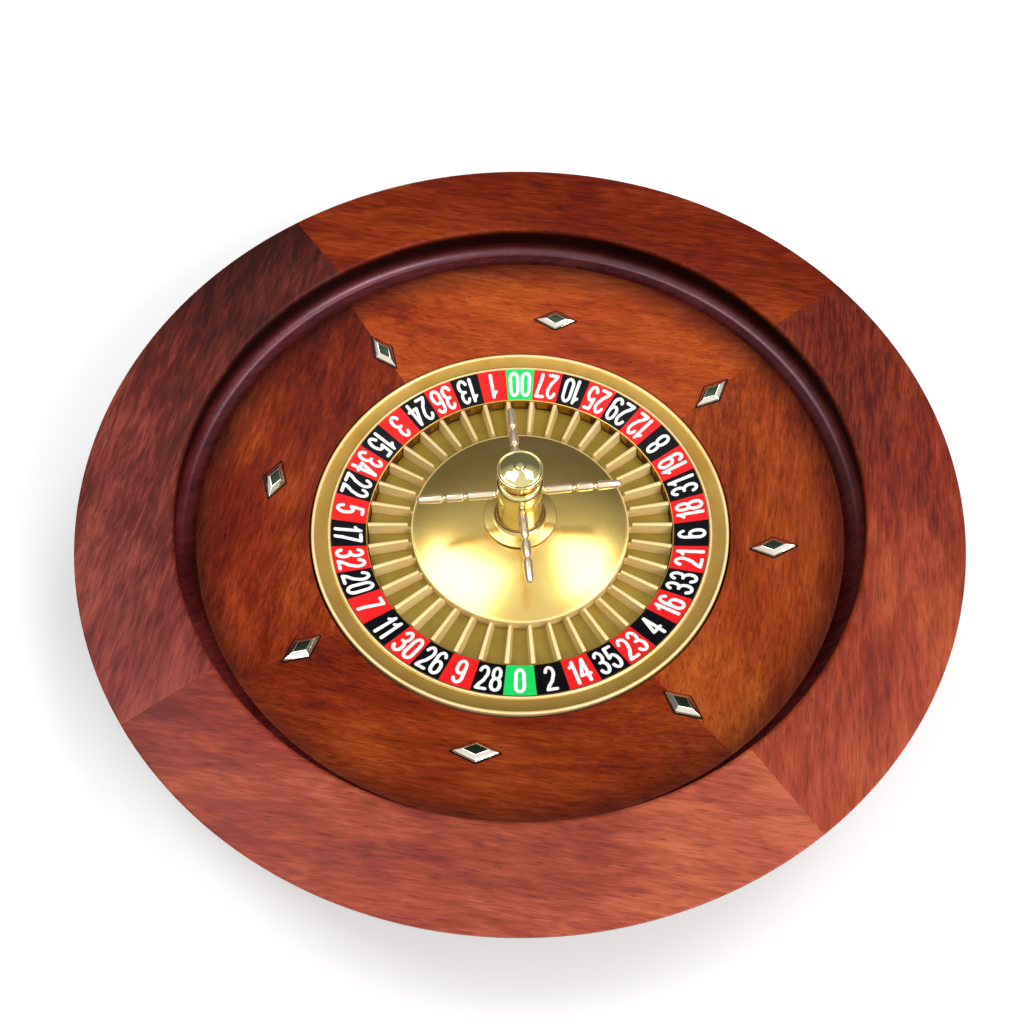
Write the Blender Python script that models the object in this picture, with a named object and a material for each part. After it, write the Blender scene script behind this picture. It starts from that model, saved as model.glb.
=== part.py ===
"""A wooden table roulette wheel, 500 mm across: a bowl with a ball track, and a rotor on a spindle.

+Z is up, the origin is on the table under the middle of the wheel, and the 0 pocket faces -Y.
Lengths and heights are given in millimetres and turned into metres by MM.
"""

import math

import bmesh
import bpy
from mathutils import Matrix, Vector

MM = 0.001

# Driving dimensions of the bowl
RIM_RADIUS = 250.0
RIM_TOP = 90.0
RIM_INNER_RADIUS = 195.8
RIM_UNDERSIDE = 73.0
RIM_LIP = 6.0
RIM_LEDGE_RADIUS = 208.0
TRACK_FOOT_RADIUS = 187.0
TRACK_FOOT_HEIGHT = 64.0
TRACK_COVE_BULGE = 2.0
CONE_INNER_RADIUS = 127.0
CONE_INNER_HEIGHT = 48.0
CONE_THICKNESS = 9.0
WALL_FOOT_RADIUS = 174.0
WALL_BULGE = 9.0
BASE_RADIUS = 170.0
BASE_BOTTOM = 6.0
BASE_TOP = 18.0
FOOT_CIRCLE = 140.0
FOOT_RADIUS = 14.0
FOOT_COUNTERBORE = 5.0
FOOT_COUNTERBORE_DEPTH = 3.2
FOOT_SCREW_LENGTH = 13.5
FOOT_SCREW_POINT = 16.4
BOWL_SIDES = 40
SEGMENTS = {"back": 36.0, "left": 126.0, "front": 216.0, "right": 306.0}
SEGMENT_ANGLE = 90.0

# Driving dimensions of the deflectors on the cone
DEFLECTOR_CIRCLE = 150.5
DEFLECTOR_LENGTH = 25.0
DEFLECTOR_WIDTH = 12.6
DEFLECTOR_HEIGHT = 3.8
DEFLECTOR_SKIRT = 0.9
DEFLECTOR_CROWN = 0.5  # the flat crown's share of the length and width
DEFLECTOR_LIFT = 0.6  # clears the cone's curve under the lozenge's middle
DEFLECTOR_PIN_RADIUS = 1.2
DEFLECTOR_PIN_LENGTH = 5.5
# (place on the circle, whether it lies along the ball's way, how far it is set askew), in degrees
DEFLECTORS = [
    (36.0, False, 3.0),
    (81.0, True, 5.0),
    (126.0, False, 4.0),
    (171.0, True, -2.0),
    (216.0, False, 9.0),
    (261.0, True, 7.0),
    (306.0, False, 9.0),
    (351.0, False, 5.0),
]

# Driving dimensions of the rotor
POCKETS = 38
POCKET_PITCH = 360.0 / POCKETS
FLANGE_RADIUS = 125.0
BAND_OUTER_RADIUS = 113.3
BAND_INNER_RADIUS = 92.4
BAND_OUTER_HEIGHT = 48.0
BAND_INNER_HEIGHT = 42.1
BAND_THICKNESS = 1.2
POCKET_OUTER_RADIUS = 91.9
POCKET_INNER_RADIUS = 66.3
POCKET_FLOOR = 34.0
POCKET_RING_BOTTOM = 31.0
FRET_TOP = 42.0
FRET_BASE_ANGLE = 3.0
FRET_CREST_SHARE = 0.36
PLATE_BOTTOM = 27.7
PLATE_TOP = 30.7
DOME_RADIUS = 66.0
DOME_CROWN = 51.0
DOME_CURVATURE = 226.8
DOME_THICKNESS = 2.0
HUB_FLANGE_RADIUS = 30.0
HUB_FLANGE_BOTTOM = 23.9
HUB_BODY_RADIUS = 17.6
HUB_SHOULDER = 47.9
HUB_NOSE_RADIUS = 10.5
HUB_NOSE_TOP = 58.0
HUB_SCREWS = 3
HUB_SCREW_CIRCLE = 24.0
HUB_SCREW_SHANK = 1.5
HUB_SCREW_HOLE = 1.8
ROTOR_SIDES = 40

# Driving dimensions of the turret
COLUMN_RADIUS = 13.4
COLUMN_TOP = 91.0
TURRET_BASE_RADIUS = 22.0
TURRET_BASE_BOTTOM = 51.2
TURRET_BORE = 10.9
TURRET_BORE_TOP = 60.0
KNOB_STUD_RADIUS = 3.6
KNOB_STUD_BOTTOM = 84.4
ARM_HEIGHT = 78.4
ARM_TIP_RADIUS = 59.5
ARM_TURN = 5.5
ARM_STUD_RADIUS = 1.6
ARM_HOLE_DEPTH = 8.0

# Driving dimensions of the spindle and its two ball bearings
SPINDLE_FLANGE_RADIUS = 46.0
SPINDLE_FLANGE_TOP = 20.8
SPINDLE_TOP = 56.7
SPINDLE_SCREW_CIRCLE = 38.0
SPINDLE_SCREWS = 3
SCREW_SHANK = 1.9
SCREW_HOLE = 2.2
SHAFT_RADIUS = 5.85
INNER_RACE_BORE = 6.15
OUTER_RACE_RADIUS = 13.85
BEARING_WIDTH = 8.0
BALL_RADIUS = 2.3
BALL_CIRCLE = 10.0
BALLS = 8
LOWER_BEARING = 24.3
UPPER_BEARING = 38.7

FIT = 0.3  # gap between pieces that touch


def clear_scene():
    for obj in list(bpy.data.objects):
        bpy.data.objects.remove(obj, do_unlink=True)


def finish(name, colour, roughness, metallic=0.0):
    """A plain material for one kind of piece."""
    made = bpy.data.materials.new(name)
    made.use_nodes = True
    shader = made.node_tree.nodes["Principled BSDF"]
    shader.inputs["Base Color"].default_value = (*colour, 1.0)
    shader.inputs["Roughness"].default_value = roughness
    shader.inputs["Metallic"].default_value = metallic
    return made


def place(mesh, name, material, parent=None, matrix=None):
    """An object of this mesh, placed under its parent."""
    obj = bpy.data.objects.new(name, mesh)
    bpy.context.scene.collection.objects.link(obj)
    mesh.materials.clear()
    mesh.materials.append(material)
    obj.parent = parent
    obj.matrix_basis = matrix or Matrix()
    return obj


def mesh_of(bm, name, smooth=35.0):
    """Closes off a bmesh as a mesh with its faces outwards and its round faces smooth."""
    bmesh.ops.remove_doubles(bm, verts=bm.verts, dist=1e-6)
    bmesh.ops.recalc_face_normals(bm, faces=bm.faces)
    mesh = bpy.data.meshes.new(name)
    bm.to_mesh(mesh)
    bm.free()
    mesh.shade_smooth()
    mesh.set_sharp_from_angle(angle=math.radians(smooth))
    return mesh


def outline(bm, profile, angle=0.0, axial=False):
    """A turned piece's section as a wire of (radius, height) points at one angle about Z."""
    turn = Matrix.Rotation(math.radians(angle), 3, "Z")
    verts = [bm.verts.new(turn @ Vector((r, 0.0, z)) * MM) for r, z in profile]
    pairs = list(zip(verts, verts[1:])) + ([] if axial else [(verts[-1], verts[0])])
    return verts + [bm.edges.new(pair) for pair in pairs]


def spin(bm, geometry, angle, steps):
    return bmesh.ops.spin(
        bm,
        geom=geometry,
        cent=(0.0, 0.0, 0.0),
        axis=(0.0, 0.0, 1.0),
        angle=math.radians(angle),
        steps=steps,
    )["geom_last"]


def turned(name, profile, sides):
    """A turned solid. A profile that starts and ends on the axis is closed by it."""
    bm = bmesh.new()
    axial = profile[0][0] == 0.0 and profile[-1][0] == 0.0
    spin(bm, outline(bm, profile, axial=axial), 360.0, sides)
    return mesh_of(bm, name)


def turned_segment(name, profile, start, gap_radius):
    """A quarter of a turned ring, with half the glue gap left at each end."""
    inset = math.degrees(FIT / 2 / gap_radius)
    bm = bmesh.new()
    wire = outline(bm, profile, start + inset)
    steps = round(BOWL_SIDES * SEGMENT_ANGLE / 360.0)
    spin(bm, wire, SEGMENT_ANGLE - 2 * inset, steps)
    bmesh.ops.holes_fill(bm, edges=[e for e in bm.edges if e.is_boundary])
    return mesh_of(bm, name)


def rods(name, radius, bottom, top, spots, sides=12):
    """Upright round bars at (x, y) spots, joined in one mesh, for drilling holes."""
    bm = bmesh.new()
    for x, y in spots:
        at = Matrix.Translation(Vector((x, y, (bottom + top) / 2)) * MM)
        bmesh.ops.create_cone(
            bm,
            cap_ends=True,
            segments=sides,
            radius1=radius * MM,
            radius2=radius * MM,
            depth=(top - bottom) * MM,
            matrix=at,
        )
    return mesh_of(bm, name)


def combine(obj, tool_mesh, operation, parent=None, matrix=None):
    """Cuts a hidden wire tool out of an object, or joins it on."""
    tool = bpy.data.objects.new(tool_mesh.name, tool_mesh)
    bpy.context.scene.collection.objects.link(tool)
    tool.parent = parent
    tool.matrix_basis = matrix or Matrix()
    tool.hide_render = True
    tool.display_type = "WIRE"
    step = obj.modifiers.new(operation.title(), "BOOLEAN")
    step.operation = operation
    step.solver = "EXACT"
    step.object = tool


def drill(obj, cutter_mesh, parent=None, matrix=None):
    combine(obj, cutter_mesh, "DIFFERENCE", parent, matrix)


def circle_spots(radius, count, first=0.0):
    """(x, y) places spaced evenly on a circle."""
    angles = [math.radians(first + 360.0 * k / count) for k in range(count)]
    return [(radius * math.cos(a), radius * math.sin(a)) for a in angles]


def arc(start, end, bulge, steps):
    """Points from start to end along an arc that bulges this far to the right of the way it goes."""
    start, end = Vector(start), Vector(end)
    half = (end - start) / 2
    radius = (half.length_squared + bulge**2) / (2 * bulge)
    right = Vector((half.y, -half.x)).normalized()
    centre = start + half + right * (bulge - radius)
    sweep = 2 * math.asin(half.length / radius)
    spoke = start - centre
    turns = [Matrix.Rotation(sweep * k / steps, 2) for k in range(steps + 1)]
    return [tuple(centre + turn @ spoke) for turn in turns]


def cone_height(radius):
    """Height of the wooden cone's top face at a radius."""
    run = TRACK_FOOT_RADIUS - CONE_INNER_RADIUS
    rise = TRACK_FOOT_HEIGHT - CONE_INNER_HEIGHT
    return CONE_INNER_HEIGHT + rise * (radius - CONE_INNER_RADIUS) / run


def dome_height(radius):
    """Height of the rotor dome's top face at a radius, an arc of one circle."""
    return DOME_CROWN - DOME_CURVATURE + math.sqrt(DOME_CURVATURE**2 - radius**2)


def screw_mesh(name, head_radius, head, shank_radius, shank):
    """A pan-head screw standing on its point at z = 0, head up."""
    point = shank_radius
    profile = [
        (0.0, 0.0),
        (shank_radius, point),
        (shank_radius, shank),
        (head_radius, shank),
        (head_radius, shank + 0.6 * head),
        (0.6 * head_radius, shank + head),
        (0.0, shank + head),
    ]
    return turned(name, profile, 8)


# ---------------------------------------------------------------- the bowl


def build_rim(materials, bowl):
    """Four flat segments, mitred end to end, with a rounded edge and a lip over the ball track."""
    profile = [
        (RIM_INNER_RADIUS + 1.4, RIM_TOP),
        (RIM_RADIUS - 1.5, RIM_TOP),
        (RIM_RADIUS, RIM_TOP - 1.5),
        (RIM_RADIUS - 1.2, RIM_TOP - 3.6),
        (RIM_RADIUS - 7.0, RIM_TOP - 10.5),
        (RIM_RADIUS - 14.0, RIM_UNDERSIDE),
        (RIM_LEDGE_RADIUS, RIM_UNDERSIDE),
        (RIM_LEDGE_RADIUS, RIM_TOP - RIM_LIP),
        (RIM_INNER_RADIUS + 1.4, RIM_TOP - RIM_LIP),
        (RIM_INNER_RADIUS, RIM_TOP - RIM_LIP + 1.4),
        (RIM_INNER_RADIUS, RIM_TOP - 1.4),
    ]
    for side, start in SEGMENTS.items():
        mesh = turned_segment(f"rim_segment_{side}", profile, start, RIM_INNER_RADIUS)
        place(mesh, mesh.name, materials["rim_wood"], bowl)


def build_ball_track(materials, bowl):
    """Four dark segments under the lip, hollowed into the cove that the ball runs in."""
    outer = RIM_LEDGE_RADIUS - FIT - 0.1
    foot = TRACK_FOOT_RADIUS + FIT
    back = RIM_LEDGE_RADIUS - 8.0
    floor = TRACK_FOOT_HEIGHT + 0.5
    profile = [
        (outer, RIM_TOP - RIM_LIP - FIT),
        (back - 0.4, RIM_TOP - RIM_LIP - FIT),
        (back, floor + 12.5),
        *reversed(arc((192.5, floor), (back, floor + 7.5), TRACK_COVE_BULGE, 4)),
        (foot, TRACK_FOOT_HEIGHT),
        (foot, TRACK_FOOT_HEIGHT - 7.0),
        (outer, TRACK_FOOT_HEIGHT + 6.0),
    ]
    for side, start in SEGMENTS.items():
        mesh = turned_segment(f"ball_track_segment_{side}", profile, start, foot)
        place(mesh, mesh.name, materials["track_wood"], bowl)


def build_cone(materials, bowl):
    """Four sloping segments from the ball track down to the rotor, drilled for the deflectors' pins."""
    outer = TRACK_FOOT_RADIUS - 0.2
    profile = [
        (CONE_INNER_RADIUS, CONE_INNER_HEIGHT),
        (CONE_INNER_RADIUS, CONE_INNER_HEIGHT - CONE_THICKNESS),
        (outer, cone_height(outer) - CONE_THICKNESS),
        (outer, cone_height(outer)),
    ]
    depth = DEFLECTOR_PIN_LENGTH + 0.5
    pins = rods("pin_drill", DEFLECTOR_PIN_RADIUS + FIT, -depth, 1.0, [(0.0, 0.0)], 8)
    for side, start in SEGMENTS.items():
        mesh = turned_segment(f"cone_segment_{side}", profile, start, CONE_INNER_RADIUS)
        segment = place(mesh, mesh.name, materials["cone_wood"], bowl)
        for angle, _, _ in DEFLECTORS:
            if (angle - start) % 360.0 <= SEGMENT_ANGLE:
                drill(segment, pins, bowl, deflector_frame(angle))


def deflector_frame(angle, askew=0.0):
    """Places a deflector on the cone: X up the slope, Z out of the wood."""
    rise = TRACK_FOOT_HEIGHT - CONE_INNER_HEIGHT
    slope = math.atan2(rise, TRACK_FOOT_RADIUS - CONE_INNER_RADIUS)
    on_cone = Vector((DEFLECTOR_CIRCLE, 0.0, cone_height(DEFLECTOR_CIRCLE))) * MM
    return (
        Matrix.Rotation(math.radians(angle), 4, "Z")
        @ Matrix.Translation(on_cone)
        @ Matrix.Rotation(-slope, 4, "Y")
        @ Matrix.Rotation(math.radians(askew), 4, "Z")
    )


def deflector_mesh():
    """A lozenge with bevelled sides and a flat crown."""
    bm = bmesh.new()
    bmesh.ops.create_circle(bm, cap_ends=True, segments=4, radius=1.0)
    half = Vector((DEFLECTOR_LENGTH / 2, DEFLECTOR_WIDTH / 2, 1.0)) * MM
    bmesh.ops.scale(bm, vec=half, verts=bm.verts)
    bmesh.ops.translate(bm, vec=(0.0, 0.0, DEFLECTOR_LIFT * MM), verts=bm.verts)
    skirt = bmesh.ops.extrude_face_region(bm, geom=bm.faces[:])["geom"]
    top = next(f for f in skirt if isinstance(f, bmesh.types.BMFace))
    bmesh.ops.translate(bm, vec=(0.0, 0.0, DEFLECTOR_SKIRT * MM), verts=top.verts)
    crown = bmesh.ops.extrude_discrete_faces(bm, faces=[top])["faces"][0]
    bmesh.ops.scale(bm, vec=(DEFLECTOR_CROWN, DEFLECTOR_CROWN, 1.0), verts=crown.verts)
    rise = DEFLECTOR_HEIGHT - DEFLECTOR_LIFT - DEFLECTOR_SKIRT
    bmesh.ops.translate(bm, vec=(0.0, 0.0, rise * MM), verts=crown.verts)
    return mesh_of(bm, "deflector", 20.0)


def build_deflectors(materials, bowl):
    """Eight lozenges round the cone, each on the pin that holds it in the wood."""
    lozenge = deflector_mesh()
    overlap = DEFLECTOR_LIFT + 0.2
    pin = rods("pin", DEFLECTOR_PIN_RADIUS, -DEFLECTOR_PIN_LENGTH, overlap, [(0.0, 0.0)], 8)
    for number, (angle, along, askew) in enumerate(DEFLECTORS, 1):
        frame = deflector_frame(angle, askew + (90.0 if along else 0.0))
        obj = place(lozenge, f"deflector_{number}", materials["deflector_metal"], bowl, frame)
        combine(obj, pin, "UNION", bowl, frame)


def build_wall(materials, bowl):
    """The turned outer wall, rounding in from the rim to the base, and the ring round the rotor."""
    top = RIM_UNDERSIDE - FIT
    foot = BASE_TOP + FIT
    wall = [
        *arc((WALL_FOOT_RADIUS, foot), (RIM_RADIUS - 14.6, top), WALL_BULGE, 6),
        *reversed(arc((WALL_FOOT_RADIUS - 12.0, foot), (222.0, top), WALL_BULGE - 3.0, 4)),
    ]
    place(turned("bowl_wall", wall, BOWL_SIDES), "bowl_wall", materials["wall_wood"], bowl)
    under = CONE_THICKNESS + FIT
    well = [
        (128.0, BASE_TOP + FIT),
        (138.0, BASE_TOP + FIT),
        (138.0, cone_height(138.0) - under),
        (128.0, cone_height(128.0) - under),
    ]
    ring = turned("rotor_well_ring", well, BOWL_SIDES)
    place(ring, ring.name, materials["wall_wood"], bowl)


def build_base(materials, bowl):
    """The base board on four feet, with their screws."""
    board = [
        (0.0, BASE_BOTTOM),
        (BASE_RADIUS - 2.0, BASE_BOTTOM),
        (BASE_RADIUS, BASE_BOTTOM + 2.0),
        (BASE_RADIUS, BASE_TOP),
        (0.0, BASE_TOP),
    ]
    base = place(turned("base_board", board, BOWL_SIDES), "base_board", materials["base_wood"], bowl)
    feet = circle_spots(FOOT_CIRCLE, 4, 45.0)
    spindle_screws = circle_spots(SPINDLE_SCREW_CIRCLE, SPINDLE_SCREWS, 90.0)
    holes = feet + spindle_screws
    drill(base, rods("base_drill", SCREW_HOLE, BASE_BOTTOM - 2.0, BASE_TOP + 2.0, holes), bowl)
    pad = [
        (FOOT_COUNTERBORE, 0.0),
        (FOOT_RADIUS - 1.4, 0.0),
        (FOOT_RADIUS, 1.5),
        (FOOT_RADIUS, BASE_BOTTOM - FIT),
        (SCREW_HOLE, BASE_BOTTOM - FIT),
        (SCREW_HOLE, FOOT_COUNTERBORE_DEPTH),
        (FOOT_COUNTERBORE, FOOT_COUNTERBORE_DEPTH),
    ]
    foot = turned("foot", pad, 12)
    screw = screw_mesh("foot_screw", 4.2, 1.7, SCREW_SHANK, FOOT_SCREW_LENGTH)
    head_down = Matrix.Rotation(math.pi, 4, "X")
    for number, (x, y) in enumerate(feet, 1):
        at = Matrix.Translation(Vector((x, y, 0.0)) * MM)
        place(foot, f"foot_{number}", materials["rubber"], bowl, at)
        at = Matrix.Translation(Vector((x, y, FOOT_SCREW_POINT)) * MM)
        place(screw, f"foot_screw_{number}", materials["steel"], bowl, at @ head_down)


# ------------------------------------------------- the spindle and bearings


def build_spindle(materials, bowl):
    """The fixed steel post that the rotor turns on, its screws, spacer, washer and nut."""
    post = [
        (0.0, BASE_TOP + FIT),
        (SPINDLE_FLANGE_RADIUS, BASE_TOP + FIT),
        (SPINDLE_FLANGE_RADIUS, SPINDLE_FLANGE_TOP),
        (12.0, SPINDLE_FLANGE_TOP),
        (7.8, 22.4),
        (7.8, LOWER_BEARING - FIT),
        (SHAFT_RADIUS, LOWER_BEARING - FIT),
        (SHAFT_RADIUS, UPPER_BEARING + BEARING_WIDTH - FIT),
        (3.9, UPPER_BEARING + BEARING_WIDTH - FIT),
        (3.9, SPINDLE_TOP - 0.7),
        (3.2, SPINDLE_TOP),
        (0.0, SPINDLE_TOP),
    ]
    spindle = place(turned("spindle", post, 16), "spindle", materials["steel"], bowl)
    spots = circle_spots(SPINDLE_SCREW_CIRCLE, SPINDLE_SCREWS, 90.0)
    drill(spindle, rods("spindle_drill", SCREW_HOLE, BASE_TOP - 2.0, 23.0, spots), bowl)
    shank = 13.0
    screw = screw_mesh("spindle_screw", 4.0, 1.6, SCREW_SHANK, shank)
    for number, (x, y) in enumerate(spots, 1):
        at = Matrix.Translation(Vector((x, y, SPINDLE_FLANGE_TOP + FIT - shank)) * MM)
        place(screw, f"spindle_screw_{number}", materials["steel"], bowl, at)
    between = (LOWER_BEARING + BEARING_WIDTH + FIT, UPPER_BEARING - FIT)
    rings = {
        "inner_spacer": (INNER_RACE_BORE, 7.6, *between, 16),
        "spindle_washer": (4.3, 7.6, 47.1, 48.4, 16),
        "spindle_nut": (4.9, 7.5, 48.7, 54.4, 6),
    }
    for name, (inner, outer, bottom, top, sides) in rings.items():
        mesh = turned(name, square_ring(inner, outer, bottom, top), sides)
        place(mesh, name, materials["steel"], bowl)


def square_ring(inner, outer, bottom, top):
    """The section of a plain ring."""
    return [(inner, bottom), (outer, bottom), (outer, top), (inner, top)]


def race_profile(back, face, groove, bottom):
    """A bearing ring from its back radius to its grooved face radius."""
    middle = bottom + BEARING_WIDTH / 2
    top = bottom + BEARING_WIDTH
    return [
        (back, bottom),
        (face, bottom),
        (face, middle - 1.9),
        (groove, middle),
        (face, middle + 1.9),
        (face, top),
        (back, top),
    ]


def cage_mesh(name):
    """Eight balls joined by a thin cage, as one ring whose section swells at each ball."""
    bm = bmesh.new()
    points_round = 6
    stations_per_ball = 4
    stations = BALLS * stations_per_ball
    loops = []
    for k in range(stations):
        angle = 2 * math.pi * k / stations
        offset = (k + stations_per_ball // 2) % stations_per_ball - stations_per_ball // 2
        along = abs(offset) / stations_per_ball * 2 * math.pi / BALLS * BALL_CIRCLE
        swell = math.sqrt(max(BALL_RADIUS**2 - along**2, 0.7**2))
        loop = []
        for j in range(points_round):
            turn = 2 * math.pi * (j + 0.5) / points_round
            r = BALL_CIRCLE + swell * math.cos(turn)
            z = swell * math.sin(turn)
            loop.append(bm.verts.new(Vector((r * math.cos(angle), r * math.sin(angle), z)) * MM))
        loops.append(loop)
    for loop, after in zip(loops, loops[1:] + loops[:1]):
        for j in range(points_round):
            nxt = (j + 1) % points_round
            bm.faces.new((loop[j], loop[nxt], after[nxt], after[j]))
    return mesh_of(bm, name, 60.0)


def build_bearings(materials, bowl, rotor):
    """Two deep-groove bearings: inner races on the spindle, outer races in the hub, balls between."""
    for level, bottom in (("lower", LOWER_BEARING), ("upper", UPPER_BEARING)):
        bore = race_profile(INNER_RACE_BORE, 7.8, 7.35, bottom)
        inner = turned(f"{level}_inner_race", bore, 16)
        outside = race_profile(OUTER_RACE_RADIUS, 12.7, 13.1, bottom)
        outer = turned(f"{level}_outer_race", outside, 16)
        place(inner, inner.name, materials["steel"], bowl)
        place(outer, outer.name, materials["steel"], rotor)
        pivot = bpy.data.objects.new(f"{level}_cage_pivot", None)
        bpy.context.scene.collection.objects.link(pivot)
        pivot.location = Vector((0.0, 0.0, bottom + BEARING_WIDTH / 2)) * MM
        cage = cage_mesh(f"{level}_ball_cage")
        place(cage, cage.name, materials["steel"], pivot)


# --------------------------------------------------------------- the rotor


def build_plate(materials, rotor):
    """The rotor's turned body: a flat plate with a raised ring that carries the band and the flange."""
    slope = (BAND_OUTER_HEIGHT - BAND_INNER_HEIGHT) / (BAND_OUTER_RADIUS - BAND_INNER_RADIUS)
    seat = BAND_INNER_HEIGHT - BAND_THICKNESS - FIT
    shelf = BAND_OUTER_HEIGHT - 2.6
    shelf_radius = BAND_INNER_RADIUS + (shelf - seat) / slope
    plate = [
        (HUB_BODY_RADIUS + 0.6, PLATE_BOTTOM),
        (119.5, PLATE_BOTTOM),
        (122.3, PLATE_BOTTOM + 2.8),
        (122.3, shelf),
        (shelf_radius, shelf),
        (BAND_INNER_RADIUS + 0.2, seat),
        (BAND_INNER_RADIUS + 0.2, PLATE_TOP),
        (HUB_BODY_RADIUS + 0.6, PLATE_TOP),
    ]
    body = turned("rotor_plate", plate, ROTOR_SIDES)
    body = place(body, body.name, materials["rotor_wood"], rotor)
    spots = hub_screw_spots()
    drill(body, rods("plate_drill", HUB_SCREW_HOLE, PLATE_BOTTOM - 2.0, PLATE_TOP + 2.0, spots), rotor)


def build_flange_and_band(materials, rotor):
    """The outer brass flange with a bead at each edge, and the sloping ring that carries the numbers."""
    top = BAND_OUTER_HEIGHT
    flange = [
        (113.7, 45.7),
        (122.8, 45.7),
        (122.8, 40.5),
        (FLANGE_RADIUS, 40.5),
        (FLANGE_RADIUS, top - 0.2),
        (123.9, top + 0.5),
        (122.4, top - 0.2),
        (115.2, top - 0.2),
        (114.4, top + 0.3),
        (113.7, top - 0.2),
    ]
    place(turned("flange_ring", flange, ROTOR_SIDES), "flange_ring", materials["satin_brass"], rotor)
    band = [
        (BAND_INNER_RADIUS, BAND_INNER_HEIGHT - BAND_THICKNESS),
        (BAND_OUTER_RADIUS, BAND_OUTER_HEIGHT - BAND_THICKNESS),
        (BAND_OUTER_RADIUS, BAND_OUTER_HEIGHT),
        (BAND_INNER_RADIUS, BAND_INNER_HEIGHT),
    ]
    place(turned("number_band", band, ROTOR_SIDES), "number_band", materials["number_enamel"], rotor)


def build_pocket_ring(materials, rotor):
    """The ring of pockets: a floor spun one fret and one pocket at a time, and its raised frets."""
    floor = [
        (POCKET_INNER_RADIUS, POCKET_RING_BOTTOM),
        (POCKET_OUTER_RADIUS, POCKET_RING_BOTTOM),
        (POCKET_OUTER_RADIUS, POCKET_FLOOR),
        (POCKET_INNER_RADIUS, POCKET_FLOOR),
    ]
    first = 270.0 + POCKET_PITCH / 2 - FRET_BASE_ANGLE / 2
    bm = bmesh.new()
    loop = outline(bm, floor, first)
    for _ in range(POCKETS):
        loop = spin(bm, loop, FRET_BASE_ANGLE, 1)
        loop = spin(bm, loop, POCKET_PITCH - FRET_BASE_ANGLE, 1)
    bmesh.ops.remove_doubles(bm, verts=bm.verts, dist=1e-6)
    bmesh.ops.recalc_face_normals(bm, faces=bm.faces)
    for face in list(bm.faces):
        middle = face.calc_center_median()
        turn = math.degrees(math.atan2(middle.y, middle.x)) - first
        if face.normal.z > 0.5 and turn % POCKET_PITCH < FRET_BASE_ANGLE:
            draw_fret(bm, face, math.atan2(middle.y, middle.x))
    place(mesh_of(bm, "pocket_ring"), "pocket_ring", materials["satin_brass"], rotor)


def draw_fret(bm, face, angle):
    """Raises one fret from its strip of floor, tapering to a narrow crest."""
    crest = bmesh.ops.extrude_discrete_faces(bm, faces=[face])["faces"][0]
    along = Vector((math.cos(angle), math.sin(angle), 0.0))
    for vert in crest.verts:
        on_line = along * vert.co.dot(along)
        flat = Vector((vert.co.x, vert.co.y, 0.0))
        vert.co = on_line + (flat - on_line) * FRET_CREST_SHARE
        vert.co.z = FRET_TOP * MM


def build_dome(materials, rotor):
    """The polished centre dish: a shallow dome with a rolled edge and a skirt down to the plate."""
    over = [(r, dome_height(r)) for r in (63.4, 48.0, 30.0, 11.2)]
    under = [(r, dome_height(r) - DOME_THICKNESS) for r in (11.2, 21.0, 42.0, 63.0)]
    edge = [
        (63.0, POCKET_RING_BOTTOM),
        (DOME_RADIUS, POCKET_RING_BOTTOM),
        (DOME_RADIUS, 41.7),
        (65.0, 42.3),
    ]
    place(turned("dome", over + under + edge, ROTOR_SIDES), "dome", materials["polished_brass"], rotor)


def hub_screw_spots():
    return circle_spots(HUB_SCREW_CIRCLE, HUB_SCREWS, 30.0)


def build_hub(materials, rotor):
    """The brass hub that holds both bearings, and its screws up into the plate."""
    bore = OUTER_RACE_RADIUS + FIT
    hub = [
        (bore, HUB_FLANGE_BOTTOM),
        (HUB_FLANGE_RADIUS, HUB_FLANGE_BOTTOM),
        (HUB_FLANGE_RADIUS, PLATE_BOTTOM - FIT),
        (HUB_BODY_RADIUS, PLATE_BOTTOM - FIT),
        (HUB_BODY_RADIUS, HUB_SHOULDER),
        (HUB_NOSE_RADIUS, HUB_SHOULDER),
        (HUB_NOSE_RADIUS, HUB_NOSE_TOP),
        (8.6, HUB_NOSE_TOP),
        (8.6, UPPER_BEARING + BEARING_WIDTH + FIT),
        (bore, UPPER_BEARING + BEARING_WIDTH + FIT),
    ]
    body = place(turned("rotor_hub", hub, 16), "rotor_hub", materials["satin_brass"], rotor)
    spots = hub_screw_spots()
    drill(body, rods("hub_drill", HUB_SCREW_HOLE, HUB_FLANGE_BOTTOM - 2.0, PLATE_TOP, spots), rotor)
    shank = PLATE_TOP - HUB_FLANGE_BOTTOM
    screw = screw_mesh("hub_screw", 3.2, 1.3, HUB_SCREW_SHANK, shank)
    head_down = Matrix.Rotation(math.pi, 4, "X")
    for number, (x, y) in enumerate(spots, 1):
        at = Matrix.Translation(Vector((x, y, PLATE_TOP - FIT)) * MM)
        place(screw, f"hub_screw_{number}", materials["steel"], rotor, at @ head_down)
    between = (LOWER_BEARING + BEARING_WIDTH + FIT, UPPER_BEARING - FIT)
    spacer = turned("outer_spacer", square_ring(12.8, OUTER_RACE_RADIUS, *between), 16)
    place(spacer, spacer.name, materials["steel"], rotor)


# -------------------------------------------------------------- the turret


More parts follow.
